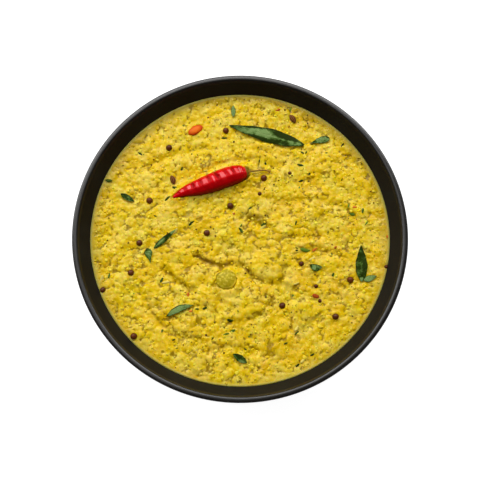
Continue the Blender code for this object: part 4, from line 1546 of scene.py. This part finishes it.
@dataclass
class Curry:
    """The lentil curry: its open surface on a disc, with its side and bottom along the bowl's wall."""

    relief: Relief
    leaves: list[Leaf]
    chilli: Chilli
    morsels: list[Morsel]
    pits: list[Seed]
    cells: int = 296
    wall_gap: float = 0.00004
    floor_gap: float = 0.0003
    pit_depth: float = 0.00022
    rim_climb: float = 0.0003
    rim_width: float = 0.0007
    levels: tuple[float, ...] = (0.86, 0.62, 0.4, 0.22, 0.08)

    def grains(self, x: Array, y: Array) -> tuple[Array, Array, Array]:
        """The lentils in the mash: the highest of domes of three sizes, with sauce that fills between them.

        Args:
            x, y: Places in metres.

        Returns:
            Their rise in metres, each one's tone, and how much of the place is sauce, from 0 to 1.
        """
        warp_x = x + 0.00028 * hills(x, y, 0.0014, 51)
        warp_y = y + 0.00028 * hills(x, y, 0.0014, 52)
        large, tone_a = domes(warp_x, warp_y, self.relief.grain_pitch, 21, 0.2)
        middle, tone_b = domes(warp_x, warp_y, 0.0021, 31, 0.3)
        small, tone_c = domes(warp_x, warp_y, 0.0015, 41, 0.3)
        middle, small = 0.9 * middle, 0.66 * small
        best = np.maximum(np.maximum(large, middle), small)
        tone = np.where(best == large, tone_a, np.where(best == middle, tone_b, tone_c))
        grain = 1.12 * self.relief.grain_rise * (best - 0.72)
        pool = -0.0006 + 0.00055 * hills(x, y, 0.0065, 61) + 0.0002 * hills(x, y, 0.0026, 62)
        filled = soft_max(grain, pool, 0.00012)
        return filled, tone, smooth((filled - grain - 0.00004) / 0.00022)

    def skin(self, x: Array, y: Array) -> tuple[Array, dict[str, Array]]:
        """Works out the surface: the broad relief with its clumps and shaded creases, the grains and the
        beds.

        Args:
            x, y: Places in metres.

        Returns:
            The height, and the marks that the finish reads there, painted light and shade among them.
        """
        relief = self.relief
        filled, tone, sauce = self.grains(x, y)
        mush = 0.0001 * hills(x, y, 0.0013, 63)
        clump, between = relief.clumps(x, y)
        seam = relief.seams(x, y)
        out = np.hypot(x, y)
        wall = relief.bowl.wall_radius(relief.level) - out
        near = smooth(wall / 0.0022)
        rise = relief.broad(x, y) - relief.rest_sink + clump - relief.seam_depth * seam
        rise = relief.limited(x, y, rise) + near * (filled + mush)
        height = relief.level + np.minimum(rise, 0.97 * relief.most_rise)
        # The gap mark is painted shade between grains and between clumps; past 0.9 it is the painted shade
        # of the shaded creases.
        gap = np.maximum(smooth((-0.00002 - filled) / 0.0003), 0.75 * between) * (1.0 - 0.9 * sauce)
        # far and the shade mark give the bowl wall's painted shadow on the curry, strongest on the far side.
        far = 0.7 + 0.3 * y / np.maximum(out, 1e-6)
        marks = {
            # The tone takes painted light on lump tops and painted shade in troughs.
            "tone": tone + 0.9 * relief.painted_light(x, y),
            "gap": np.maximum(gap, 1.5 * seam) * near,
            "sauce": np.maximum(sauce, 1.0 - near),
            "edge": fall((wall - 0.0002) / 0.0007),
            "shade": far * fall(wall / 0.0065),
        }
        return self.settled(x, y, height), marks

    def hollows(self, x: Array, y: Array) -> Array:
        """Highest that the curry may stand under the chilli and the larger pieces, and 1e3 elsewhere."""
        return np.minimum.reduce([piece.hollow(x, y) for piece in (self.chilli, *self.morsels)])

    def settled(self, x: Array, y: Array, height: Array) -> Array:
        """The height with a bed for each leaf, banks and hollows for the larger pieces, and pits for seeds.

        Args:
            x, y: Places in metres.
            height: The height without them.

        Returns:
            The height.
        """
        for leaf in self.leaves:
            under, beyond = leaf.bed(x, y)
            lower = fall((beyond - 0.0001) / 0.0011) * np.minimum(under - height, 0.0)
            raised = fall((beyond + 0.0008) / 0.0011) * np.maximum(under - height, 0.0)
            height = height + lower + raised
        height = height + self.chilli.bank(x, y) + sum(m.bank(x, y) for m in self.morsels)
        height = np.minimum(height, self.relief.level + self.relief.most_rise)
        height = np.minimum(height, self.hollows(x, y))
        for seed in self.pits:
            apart = self.relief.away(x, y, seed.pixel) / (0.5 * seed.length)
            height = height - self.pit_depth * fall((apart - 0.6) / 0.9)
        return height

    def taken(self, x: Array, y: Array) -> Array:
        """Whether each place lies under a leaf, the chilli, a larger piece or a seed."""
        under = self.hollows(x, y) < 1.0
        for leaf in self.leaves:
            under |= leaf.bed(x, y)[1] < 0.0004
        for seed in self.pits:
            under |= self.relief.away(x, y, seed.pixel) < 0.55 * seed.length
        return under

    def build(self) -> None:
        """Makes the curry, which stands for its node.

        A square grid goes to the disc by the concentric map: a square's side is an arc, its height the
        radius. Rings at falling levels follow the bowl's wall under the rim, and a fan closes the bottom.
        """
        bowl, n, level = self.relief.bowl, self.cells, self.relief.level
        rim_radius = float(bowl.wall_radius(level))
        top = rim_radius - self.wall_gap
        a, b = np.meshgrid(*2 * [np.linspace(-1.0, 1.0, n + 1)])
        wide = np.abs(a) > np.abs(b)
        with np.errstate(divide="ignore", invalid="ignore"):
            angle = np.where(wide, 0.25 * math.pi * b / a, 0.5 * math.pi - 0.25 * math.pi * a / b)
        angle = np.nan_to_num(angle)
        reach = np.where(wide, a, b)
        x, y = (top * reach * np.cos(angle)).ravel(), (top * reach * np.sin(angle)).ravel()
        height, marks = self.skin(x, y)
        climb = self.rim_climb * smooth((np.hypot(x, y) - top + self.rim_width) / self.rim_width)
        height = height + climb
        outward = 1.0 + (bowl.wall_radius(height) - rim_radius) / top * (climb > 0)
        vertices = packed(x * outward, y * outward, height)
        number = np.arange((n + 1) ** 2).reshape(n + 1, n + 1)
        rim = np.concatenate([number[0, :-1], number[:-1, -1], number[-1, :0:-1], number[:0:-1, 0]])
        turn = np.arctan2(vertices[rim, 1], vertices[rim, 0])
        rings = []
        for share in self.levels:
            low = share * (level - bowl.floor) + bowl.floor
            radius = float(bowl.wall_radius(low)) - self.floor_gap
            rings.append(packed(radius * np.cos(turn), radius * np.sin(turn), low))
        lower = np.concatenate([*rings, [[0.0, 0.0, bowl.floor + self.floor_gap]]])
        start, count = len(vertices), len(rim)
        k = np.arange(count)
        after = (k + 1) % count
        loops = [rim] + [start + i * count + k for i in range(len(rings))]
        sides = [packed(u[after], u[k], v[k], v[after]) for u, v in zip(loops, loops[1:])]
        fan = packed(loops[-1][after], loops[-1][k], start + len(lower) - 1)
        hidden = {"tone": 0.5, "gap": 0.5}
        marks = {m: np.concatenate([v, np.full(len(lower), hidden.get(m, 0.0))]) for m, v in marks.items()}
        shape = Shape(np.concatenate([vertices, lower]), [grid_quads(n + 1, n + 1), *sides, fan], marks)
        shape.piece("curry_lentils", LentilCurry().material(), "curry", ["curry"])


@dataclass
class Lentils:
    """Whole and broken lentils that stand out of the mash, one in most squares of a shaken lattice."""

    curry: Curry
    name: str
    pitch: float
    lengths: tuple[float, float]
    share: float
    sides: int
    rings: int
    seed: int
    rise: float
    lump_share: float = 0.45
    wall_clear: float = 0.001

    def places(self) -> tuple[Array, Array]:
        """Where they lie: away from the wall, the toppings and the sauce, and seldom on the smooth lumps.

        Returns:
            The places, (count, 3), and the wall's shade at each.
        """
        relief = self.curry.relief
        reach = float(relief.bowl.wall_radius(relief.level))
        steps = np.arange(-reach, reach, self.pitch)
        draw = seeded(self.seed)
        x, y = (g.ravel() + self.pitch * draw.uniform(-0.5, 0.5, g.size) for g in np.meshgrid(steps, steps))
        inside = np.hypot(x, y) < reach - self.wall_clear
        x, y = x[inside], y[inside]
        height, marks = self.curry.skin(x, y)
        want = self.share * (1.0 - 0.85 * marks["sauce"])
        for pixel, radius, _ in relief.lumps:
            want = np.where(relief.away(x, y, pixel) < 0.8 * radius, want * self.lump_share, want)
        want = np.where(self.curry.taken(x, y), 0.0, want)
        kept = draw.uniform(0.0, 1.0, len(x)) < want
        return packed(x, y, height)[kept], marks["shade"][kept]

    def build(self) -> None:
        """Makes the grains: dented balls, flattened to half, each with its own size, turn, tilt and tone."""
        places, shades = self.places()
        count = len(places)
        draw = seeded(self.seed + 1)
        base = ball(self.sides, self.rings)
        low, high = self.lengths
        lengths = low + (high - low) * draw.uniform(0.0, 1.0, count) ** 1.4
        ratios = packed(1.0, draw.uniform(0.68, 0.95, count), draw.uniform(0.4, 0.58, count))
        sizes = 0.5 * lengths[:, None] * ratios
        turns = turns_of(draw.uniform(0, math.tau, count), *draw.normal(0.0, 0.32, (2, count)))
        lifted = places + np.column_stack([np.zeros((count, 2)), self.rise * lengths])
        none = np.zeros(count)
        # A tone above 1 gives a grain the painted highlight colour.
        marks = {"tone": draw.uniform(0.5, 1.5, count), "shade": shades, "sauce": none, "edge": none}
        made = scattered(base, lifted, sizes, turns, marks)
        each = len(base.vertices)
        dents = draw.normal(0.0, 0.03, (count * each, 1))
        middles = np.repeat(lifted, each, axis=0)
        made.vertices = middles + (made.vertices - middles) * (1.0 + dents)
        surface, thick = np.repeat([places[:, 2] + 0.1 * sizes[:, 2], sizes[:, 2]], each, axis=1)
        # Painted shade on the lower part of each grain, below the mash round it.
        made.marks["gap"] = 0.7 * smooth(0.3 + 1.2 * (surface - made.vertices[:, 2]) / thick)
        made.piece(self.name, LentilCurry().material(), "curry")


# ---- The tempering ----


@dataclass
class Tempering:
    """Mustard and cumin seeds, pepper, chopped herbs, chilli flakes and husks on the curry."""

    curry: Curry
    mustard: list[Seed]
    cumin: list[Seed]
    herbs: list[Seed]
    flakes: list[Seed]
    husks: list[Seed]
    pepper_count: int = 680
    herb_count: int = 70
    strewn_radius: float = 0.066

    def numbers(self, seeds: Sequence[Seed]) -> tuple[Array, Array, Array, Array]:
        """Where seeds lie seen from above, (count, 2), and their lengths, headings and shades."""
        rows = np.array([(*self.curry.relief.at(s.pixel), s.length, s.heading, s.shade) for s in seeds])
        return rows[:, :2], rows[:, 2], rows[:, 3], rows[:, 4]

    def lay(
        self,
        name: str,
        spice: Spice,
        base: Shape,
        places: Array,
        lengths: Array,
        ratios: Array,
        angles: Sequence[Array],
        rise: tuple[float, float],
        shades: Array | None = None,
        flat: bool = False,
    ) -> None:
        """Lays copies of a shape on the curry, as one piece.

        Args:
            name: The piece's name.
            spice: Its finish.
            base: The shape of one.
            places: Where each lies, (count, 2).
            lengths: How long each is.
            ratios: Length, width and thickness as shares of the length, (count, 3) or (3,).
            angles: Spin, tilt and lean of each.
            rise: How far its middle is above the surface, in metres and as a share of its length.
            shades: The shade of each, for a finish that reads it.
            flat: Whether its faces are shaded flat.
        """
        height, _ = self.curry.skin(places[:, 0], places[:, 1])
        lifted = np.column_stack([places, height + (rise[0] + rise[1] * lengths)])
        marks = {} if shades is None else {"shade": shades}
        made = scattered(base, lifted, 0.5 * lengths[:, None] * ratios, turns_of(*angles), marks)
        made.piece(name, spice.material(), "curry", flat=flat)

    def build_mustard(self) -> None:
        """Makes the mustard seeds: balls with shallow dimples, sunk a third deep."""
        base = ball(28, 16)
        u, v, w = base.vertices.T
        dimples = np.sin(7 * u) * np.sin(6 * v + 1) * np.sin(5 * w)
        base.vertices = base.vertices * (1.0 + 0.02 * dimples)[:, None]
        places, lengths, _, shades = self.numbers(self.mustard)
        draw, count = seeded(71), len(places)
        ratios, angles = draw.uniform(0.93, 1.04, (count, 3)), draw.uniform(0, math.tau, (3, count))
        self.lay("mustard_seeds", Spice.MUSTARD, base, places, lengths, ratios, angles, (0.0, 0.06), shades)

    def build_cumin(self) -> None:
        """Makes the cumin seeds: pointed spindles, sin(pi t)^0.7 round, with nine ridges along them."""
        t = np.linspace(0.0, 1.0, 34)[:, None]
        angle = circle(54)[None, :]
        ridge = 0.5 + 0.5 * np.cos(9 * angle) + 0 * t
        radius = np.sin(math.pi * (0.03 + 0.94 * t)) ** 0.7 * (0.9 + 0.1 * ridge)
        bend = 0.1 * np.sin(math.pi * t)
        points = packed(2 * t - 1, radius * np.cos(angle) + bend, radius * np.sin(angle))
        base = loft(points, {"ridge": ridge})
        places, lengths, headings, _ = self.numbers(self.cumin)
        ratios, angles = np.array([1.0, 0.6, 0.44]), (headings, 0 * headings, 0 * headings)
        self.lay("cumin_seeds", Spice.CUMIN, base, places, lengths, ratios, angles, (0.0004, 0.0))

    def build_flecks(
        self, name: str, seeds: list[Seed], spice: Spice, wide: float, plump: float, seed: int
    ) -> None:
        """Makes flat flecks that curl down at their sides by 0.9 of their half width squared.

        Args:
            name: The piece's name.
            seeds: Where each lies.
            spice: Its finish.
            wide: Width as a share of the length.
            plump: Thickness as a share of the length.
            seed: Seed of their tilts and widths.
        """
        t = np.linspace(0.0, 1.0, 7)[:, None]
        angle = circle(10)[None, :]
        across = np.sin(math.pi * (0.06 + 0.88 * t)) ** 0.7 * np.cos(angle)
        base = loft(packed(2 * t - 1, across, 0.5 * np.sin(angle) - 0.9 * across**2))
        places, lengths, headings, shades = self.numbers(seeds)
        draw, count = seeded(seed), len(seeds)
        ratios = packed(1.0, wide * draw.uniform(0.7, 1.3, count), plump)
        angles = (headings, draw.uniform(-0.3, 0.3, count), draw.uniform(-0.35, 0.35, count))
        self.lay(name, spice, base, places, lengths, ratios, angles, (0.00012, 0.02), shades)

    def strewn(self, count: int, seed: int, low: float, high: float) -> tuple[Array, Array]:
        """Random places in the bowl, clear of the larger pieces and thicker in some regions.

        Args:
            count: How many places are tried.
            seed: Seed of the places.
            low, high: The smallest and the largest length.

        Returns:
            The places, (count, 2), and a length for each; most are small.
        """
        draw = seeded(seed)
        reach = self.strewn_radius * np.sqrt(draw.uniform(0.0, 1.0, count))
        turn = draw.uniform(0.0, math.tau, count)
        x, y = reach * np.cos(turn), reach * np.sin(turn)
        lengths = low + (high - low) * draw.uniform(0.0, 1.0, count) ** 2.2
        thick = draw.uniform(-1.0, 1.0, count) < 0.35 + hills(x, y, 0.014, 81)
        free = thick & ~self.curry.taken(x, y)
        return packed(x, y)[free], lengths[free]

    def build_pepper(self) -> None:
        """Makes the crushed pepper: small crooked grains of twenty-odd faces."""
        base = ball(6, 4)
        draw = seeded(91)
        base.vertices = base.vertices * draw.uniform(0.7, 1.1, (len(base.vertices), 1))
        places, lengths = self.strewn(self.pepper_count, 92, 0.00035, 0.0013)
        count, rise, pepper = len(places), (0.0, 0.12), Spice.PEPPER
        ratios = draw.uniform(0.5, 1.0, (count, 3))
        angles = draw.uniform(0, math.tau, (3, count))
        shades = draw.uniform(0.0, 1.0, count) ** 2
        self.lay("crushed_pepper", pepper, base, places, lengths, ratios, angles, rise, shades, flat=True)

    def build_herb_dust(self) -> None:
        """Makes the smallest herb bits, strewn at random."""
        places, lengths = self.strewn(self.herb_count, 95, 0.0007, 0.0019)
        draw, count = seeded(96), len(places)
        ratios = packed(1.0, draw.uniform(0.3, 0.6, count), 0.2)
        angles = (draw.uniform(0, math.tau, count), *draw.uniform(-0.4, 0.4, (2, count)))
        shades, rise = draw.uniform(0.0, 0.9, count), (0.0001, 0.0)
        self.lay("herb_dust", Spice.HERB, ball(8, 4), places, lengths, ratios, angles, rise, shades)

    def build(self) -> None:
        """Makes every kind."""
        self.build_mustard()
        self.build_cumin()
        self.build_flecks("herb_flecks", self.herbs, Spice.HERB, 0.42, 0.16, 101)
        self.build_flecks("chilli_flakes", self.flakes, Spice.FLAKE, 0.62, 0.35, 102)
        self.build_flecks("husks", self.husks, Spice.HUSK, 0.5, 0.3, 103)
        self.build_pepper()
        self.build_herb_dust()


# ---- The studio ----


@dataclass(frozen=True)
class SoftLight:
    """A soft rectangular light facing the bowl, at a place given by azimuth, elevation and distance."""

    name: str
    azimuth: float
    elevation: float
    distance: float
    width: float
    height: float
    power: float
    gloss: bool = True

    def build(self) -> None:
        """Makes the light, turned to the middle of the bowl."""
        data = bpy.data.lights.new(self.name, "AREA")
        data.shape = "RECTANGLE"
        data.size, data.size_y = self.width, self.height
        data.energy = self.power
        light = linked(self.name, data)
        az, el = math.radians(self.azimuth), math.radians(self.elevation)
        aim = np.array([math.sin(az) * math.cos(el), math.cos(az) * math.cos(el), math.sin(el)])
        light.location = tuple(np.array([0.0, 0.0, 0.05]) + self.distance * aim)
        light.rotation_euler = (0.5 * math.pi - el, 0.0, math.pi - az)
        light.visible_glossy = self.gloss


@dataclass(frozen=True)
class Studio:
    """The pale floor and backdrop, the soft lights and the camera."""

    lights: tuple[SoftLight, ...] = (
        SoftLight("window", -12.0, 45.0, 1.2, 3.2, 0.6, 22.2),
        SoftLight("skylight", -30.0, 76.0, 1.2, 1.0, 0.7, 2.4),
        SoftLight("ceiling", 0.0, 90.0, 1.1, 2.2, 2.2, 3.4, gloss=False),
    )
    white: Colour = (1.0, 1.0, 1.0)
    grey: Colour = (0.55, 0.55, 0.55)
    ambient: float = 0.05
    wall_glow: float = 0.97
    floor_glow: float = 0.9
    floor_reach: float = 6.0
    floor_drop: float = 0.0001
    lens_px: float = 896.3
    sensor: float = 36.0
    aim_shift: tuple[float, float, float] = (-0.00018, 0.00016, 0.0)

    def build(self) -> None:
        """Makes the studio and sets the scene's camera."""
        settings = bpy.context.scene.view_settings
        settings.view_transform = "Standard"
        settings.look = "None"
        self.build_backdrop()
        for light in self.lights:
            light.build()
        self.build_floor()
        self.build_camera()

    def build_backdrop(self) -> None:
        """Makes the surroundings: a white wall to look at behind the floor, and faint light all round."""
        world = bpy.data.worlds.new("studio")
        world.use_nodes = True
        nodes = Nodes(world.node_tree)
        seen = nodes.node("ShaderNodeLightPath", out="Is Camera Ray")
        strength = seen * (self.wall_glow - self.ambient) + self.ambient
        wall = nodes.node("ShaderNodeBackground", {}, {"Color": self.white, "Strength": strength})
        nodes.end("ShaderNodeOutputWorld", wall)
        bpy.context.scene.world = world

    def build_floor(self) -> None:
        """Makes the floor: a wide pale sheet that glows a little, so that it stays white."""
        mesh, far = bpy.data.meshes.new("floor"), self.floor_reach
        corners = [(-far, -far, 0), (far, -far, 0), (far, far, 0), (-far, far, 0)]
        mesh.from_pydata(corners, [], [(0, 1, 2, 3)])
        glow = {"Emission_Color": self.white, "Emission_Strength": self.floor_glow}
        mesh.materials.append(Paint("white_floor").surface(self.grey, 0.8, None, 0.5, **glow))
        floor = linked("floor", mesh)
        floor.location.z = -self.floor_drop

    def build_camera(self) -> None:
        """Makes the camera on the picture's line of sight."""
        data = bpy.data.cameras.new("camera")
        data.sensor_width = self.sensor
        data.lens = self.lens_px * self.sensor / SIGHT.picture_px
        data.clip_start = 0.01
        camera = linked("camera", data)
        camera.location = tuple(SIGHT.eye + np.array(self.aim_shift))
        camera.rotation_euler = (0.5 * math.pi - SIGHT.elevation, 0.0, 0.0)
        bpy.context.scene.camera = camera


# ---- This helping ----


def leaves_on(relief: Relief) -> list[Leaf]:
    """The curry leaves and torn pieces of them, each with its own outline, lie, painted sheen and painted
    shade.

    Args:
        relief: The curry's form.

    Returns:
        The leaves.
    """

    def leaf(
        number: int, stalk: Pixel, tip: Pixel, wide: float, arch: float, twist: float, fold: float, **more
    ) -> Leaf:
        """One leaf, its width and arch in millimetres."""
        return Leaf(relief, f"curry_leaf_{number}", stalk, tip, wide * MM, arch * MM, twist, fold, **more)

    # Blots of painted shade on the folds, below 0, and of painted sheen, above 0, on the first leaf.
    sheen_and_shade_blots = (
        (0.25, -0.5, 0.2, 0.44, -0.8), (0.76, -0.85, 0.16, 0.3, -0.9), (0.54, 0.86, 0.22, 0.34, -1.0),
        (0.1, 0.3, 0.1, 0.4, 0.35), (0.56, -0.15, 0.2, 0.5, 0.5), (0.3, 0.45, 0.12, 0.3, -0.35),
        (0.8, 0.35, 0.1, 0.4, 0.25), (0.4, -0.9, 0.06, 0.2, -0.5),
    )  # fmt: skip
    return [
        leaf(1, (303.6, 145.3), (228.5, 125.9), 6.8, 0.6, 0.04, -0.1, peak=0.82, ends=0.8, bloom=0.47,
             blots=sheen_and_shade_blots),
        leaf(2, (328.6, 138.6), (310.5, 143.0), 3.3, 0.3, 0.05, -0.1, peak=0.58, ends=0.8, bloom=0.75,
             blots=((0.02, -0.8, 0.16, 0.9, -0.9), (0.8, 0.0, 0.12, 0.9, -0.6))),
        leaf(3, (360.5, 281.5), (360.2, 244.6), 5.3, 0.4, 0.04, 0.1, peak=0.76, ends=0.95, bloom=0.12,
             blots=((0.06, 0.0, 0.07, 0.7, 1.0), (0.33, 0.0, 0.16, 0.16, 0.35),
                    (0.55, -0.5, 0.25, 0.3, -0.25))),
        leaf(4, (362.6, 280.2), (376.0, 275.4), 2.8, 0.2, -0.08, -0.1, peak=0.78, bloom=1.0),
        leaf(5, (153.8, 248.2), (176.6, 228.6), 2.5, 0.3, 0.1, -0.12, peak=0.7, ends=0.95, bloom=0.35,
             blots=((0.3, 0.1, 0.22, 0.28, 0.55), (0.62, 0.2, 0.1, 0.9, -0.5),
                    (0.88, 0.0, 0.14, 1.2, 1.5))),
        leaf(6, (150.8, 263.6), (147.2, 247.8), 3.5, 0.3, -0.1, -0.08, peak=2.1, ends=0.75, bloom=0.55,
             blots=((0.97, 0.7, 0.1, 0.5, -0.9), (0.45, 0.0, 0.25, 0.35, 0.3))),
        leaf(7, (166.2, 316.2), (193.2, 304.8), 3.0, 0.4, 0.06, -0.12, peak=0.9, bow=0.075, bloom=0.95,
             blots=((0.5, 0.85, 0.4, 0.25, -0.5), (0.02, 0.0, 0.1, 1.0, -0.6))),
        leaf(8, (232.6, 353.2), (246.6, 362.2), 3.1, 0.3, 0.08, -0.1, peak=1.05, ends=0.75, bloom=0.22,
             blots=((0.72, -0.6, 0.3, 0.4, 0.45), (0.3, 0.5, 0.3, 0.5, -0.4))),
        leaf(9, (308.8, 264.2), (321.8, 266.8), 3.4, 0.2, 0.05, -0.08, peak=0.95, ends=0.9, bloom=0.6,
             sides=(0.35, 1.55),
             blots=((0.4, -0.4, 0.13, 0.35, 0.6), (0.05, 0.0, 0.16, 1.0, -0.6),
                    (0.5, 0.5, 0.5, 0.25, -0.5))),
        leaf(10, (120.8, 193.8), (134.4, 201.6), 2.7, 0.3, -0.05, -0.1, peak=0.85, bloom=0.15,
             blots=((0.6, -0.75, 0.3, 0.3, 0.55), (0.12, 0.4, 0.15, 0.6, -0.4))),
        leaf(11, (233, 117.8), (233, 106), 2.1, 0.2, 0.0, -0.06, peak=1.0, ends=0.8, bloom=1.0),
    ]  # fmt: skip


def seeds_from(rows: Sequence[Row]) -> list[Seed]:
    """Seeds or flecks from rows of column, row, length in millimetres, heading in degrees and shade."""
    return [Seed((x, y), length * MM, math.radians(turn), shade) for x, y, length, turn, shade in rows]


# Mustard seeds and the smaller dark seeds.
MUSTARD = seeds_from([
    (169, 148, 3.0, 0, 0.35), (225.5, 130.8, 3.0, 0, 0.6), (263.4, 178, 3.0, 0, 0.5),
    (230, 205.5, 3.0, 0, 0.3), (149.5, 200.5, 3.0, 0, 0.55), (206.5, 232.7, 3.0, 0, 0.4),
    (139.4, 242.6, 3.0, 0, 0.35), (131, 272.4, 3.0, 0, 0.5), (133.8, 335.5, 3.0, 0, 0.45),
    (349.6, 279.2, 3.0, 0, 0.6), (281.8, 305, 3.0, 0, 0.3), (334.7, 316, 3.0, 0, 0.35),
    (259.3, 193.4, 1.9, 0, 0.3), (102.8, 289.4, 2.6, 0, 0.3), (385.2, 266.2, 1.7, 0, 0.3),
    (319.2, 300.2, 1.7, 0, 0.3), (289.3, 173.2, 1.8, 0, 0.3), (315.5, 285.6, 1.9, 0, 0.3),
    (301, 262.8, 2.4, 0, 0.3),
])  # fmt: skip

# Cumin seeds.
CUMIN = seeds_from([(291.9, 119.2, 4.6, -58, 0.5), (172.4, 179.6, 4.4, -72, 0.5)])

# Flecks of chopped herb and leaf.
HERB_FLECKS = seeds_from([
    (109, 180.5, 3.3, -10, 0.3), (167.3, 198.3, 3.1, 40, 0.3), (175, 187.4, 3.0, -20, 0.25),
    (263.8, 223, 3.6, 35, 0.35), (295.3, 223, 2.3, 75, 0.3), (240.8, 230, 2.6, -65, 0.4),
    (299.7, 164.8, 2.8, -10, 0.2), (223.9, 138, 2.6, 5, 0.3), (204.5, 307.4, 2.2, 30, 0.2),
    (296.2, 332, 2.4, 40, 0.4), (161.4, 279.3, 2.6, 65, 0.3), (232, 330.3, 2.8, 25, 0.5),
    (225.9, 333.6, 2.6, 15, 0.7), (347.7, 205.4, 2.4, 70, 0.9), (351.2, 213.8, 2.6, -20, 0.5),
    (361.9, 210.6, 2.6, 80, 0.4), (365.5, 223, 2.0, 50, 0.9), (109, 275, 2.6, 80, 0.6),
    (332.3, 275.2, 2.8, 78, 0.4), (310.4, 143.8, 2.0, -5, 0.1), (301.2, 152.4, 2.4, -30, 0.2),
    (305.4, 152.2, 1.6, 60, 0.3), (259, 160.2, 2.2, 80, 0.1), (290, 109, 2.2, 75, 0.8),
    (309.4, 173.4, 2.0, 45, 0.2), (300.2, 180.6, 2.2, 20, 0.1), (140.2, 153.6, 2.4, -40, 0.1),
    (285.4, 342.6, 2.0, 20, 0.2), (230, 319.6, 3.0, -5, 0.1), (196.8, 308.4, 1.8, 0, 0.4),
    (155.5, 215.7, 1.8, -20, 0.2), (191.2, 222.9, 3.2, 42, 0.1), (249.6, 207.6, 1.8, 45, 0.2),
    (266, 295.6, 1.8, 50, 0.1), (212.7, 338, 1.8, 30, 0.1), (341.5, 145.4, 2.2, 55, 0.1),
    (304.6, 249.3, 4.6, -8, 0.7), (297, 364.4, 2.0, 40, 0.1), (311.6, 353.8, 2.0, 30, 0.2),
    (330.8, 254.3, 2.0, 70, 0.1), (240.2, 225.5, 2.0, 60, 0.5), (240, 229.6, 2.8, -60, 0.15),
    (173.4, 339, 1.6, 20, 0.1),
])  # fmt: skip

# Orange and red flakes.
CHILLI_FLAKES = seeds_from([
    (187.8, 295, 3.0, 80, 0.7), (190.2, 310.6, 1.8, 10, 0.9), (353.8, 207.4, 2.0, 0, 0.9),
    (168, 281.6, 1.2, 0, 0.8), (334.9, 247.2, 1.6, 30, 0.3), (386.4, 236, 1.8, 80, 0.6),
    (233.6, 213, 1.4, 30, 0.5), (277.2, 110.4, 2.2, 20, 0.4), (315, 295.6, 3.0, -20, 0.25),
    (314.2, 248.8, 2.8, 40, 0.6),
])  # fmt: skip

# Pale green and cream bits of husk and stem.
HUSKS = seeds_from([
    (165.6, 281.8, 3.4, 10, 0.9), (261.8, 227.6, 4.0, 40, 0.5), (206.4, 169.8, 3.2, 15, 0.4),
    (190.2, 178.4, 2.6, 10, 0.4), (101.6, 278, 3.0, 70, 0.7), (295.6, 283.2, 2.6, 20, 0.7),
    (317.6, 281.6, 3.2, 50, 1.0), (295.8, 327.4, 3.0, 60, 0.8), (302.2, 360, 2.6, 40, 1.0),
    (174.8, 231, 3.4, 50, 0.6), (311.4, 258.2, 3.0, 20, 0.8),
])  # fmt: skip


def main() -> None:
    """Builds the bowl, the curry, the toppings and the studio, in that order."""
    logging.basicConfig(level=logging.INFO, format="%(name)s %(message)s")
    bowl = Bowl()
    bowl.build()
    relief = Relief(bowl)
    leaves = leaves_on(relief)
    chilli = Chilli(relief)
    chayote = Morsel(
        relief, "chayote_slice", (226, 279), (0.0098, 0.0094, 0.004), 0.0, "chayote", 0.0012, lap=0.26
    )
    ripe = Morsel(
        relief, "red_chilli_piece", (195.2, 130.3), (0.0076, 0.004, 0.0018), math.radians(28), "ripe_chilli"
    )
    curry = Curry(relief, leaves, chilli, [chayote, ripe], MUSTARD)
    curry.build()
    Lentils(curry, "lentil_grains", 0.0024, (0.0018, 0.0027), 0.12, 9, 5, 111, -0.08).build()
    Lentils(curry, "lentil_bits", 0.0019, (0.001, 0.0017), 0.3, 7, 4, 121, -0.02).build()
    green = LeafGreen().material()
    for leaf in leaves:
        leaf.build(green)
    chilli.build()
    chayote.build(ChayoteFlesh().material(), 0.02)
    ripe.build(Spice.RIPE_CHILLI.material(), 0.03)
    Tempering(curry, MUSTARD, CUMIN, HERB_FLECKS, CHILLI_FLAKES, HUSKS).build()
    Studio().build()


if __name__ == "__main__":
    main()
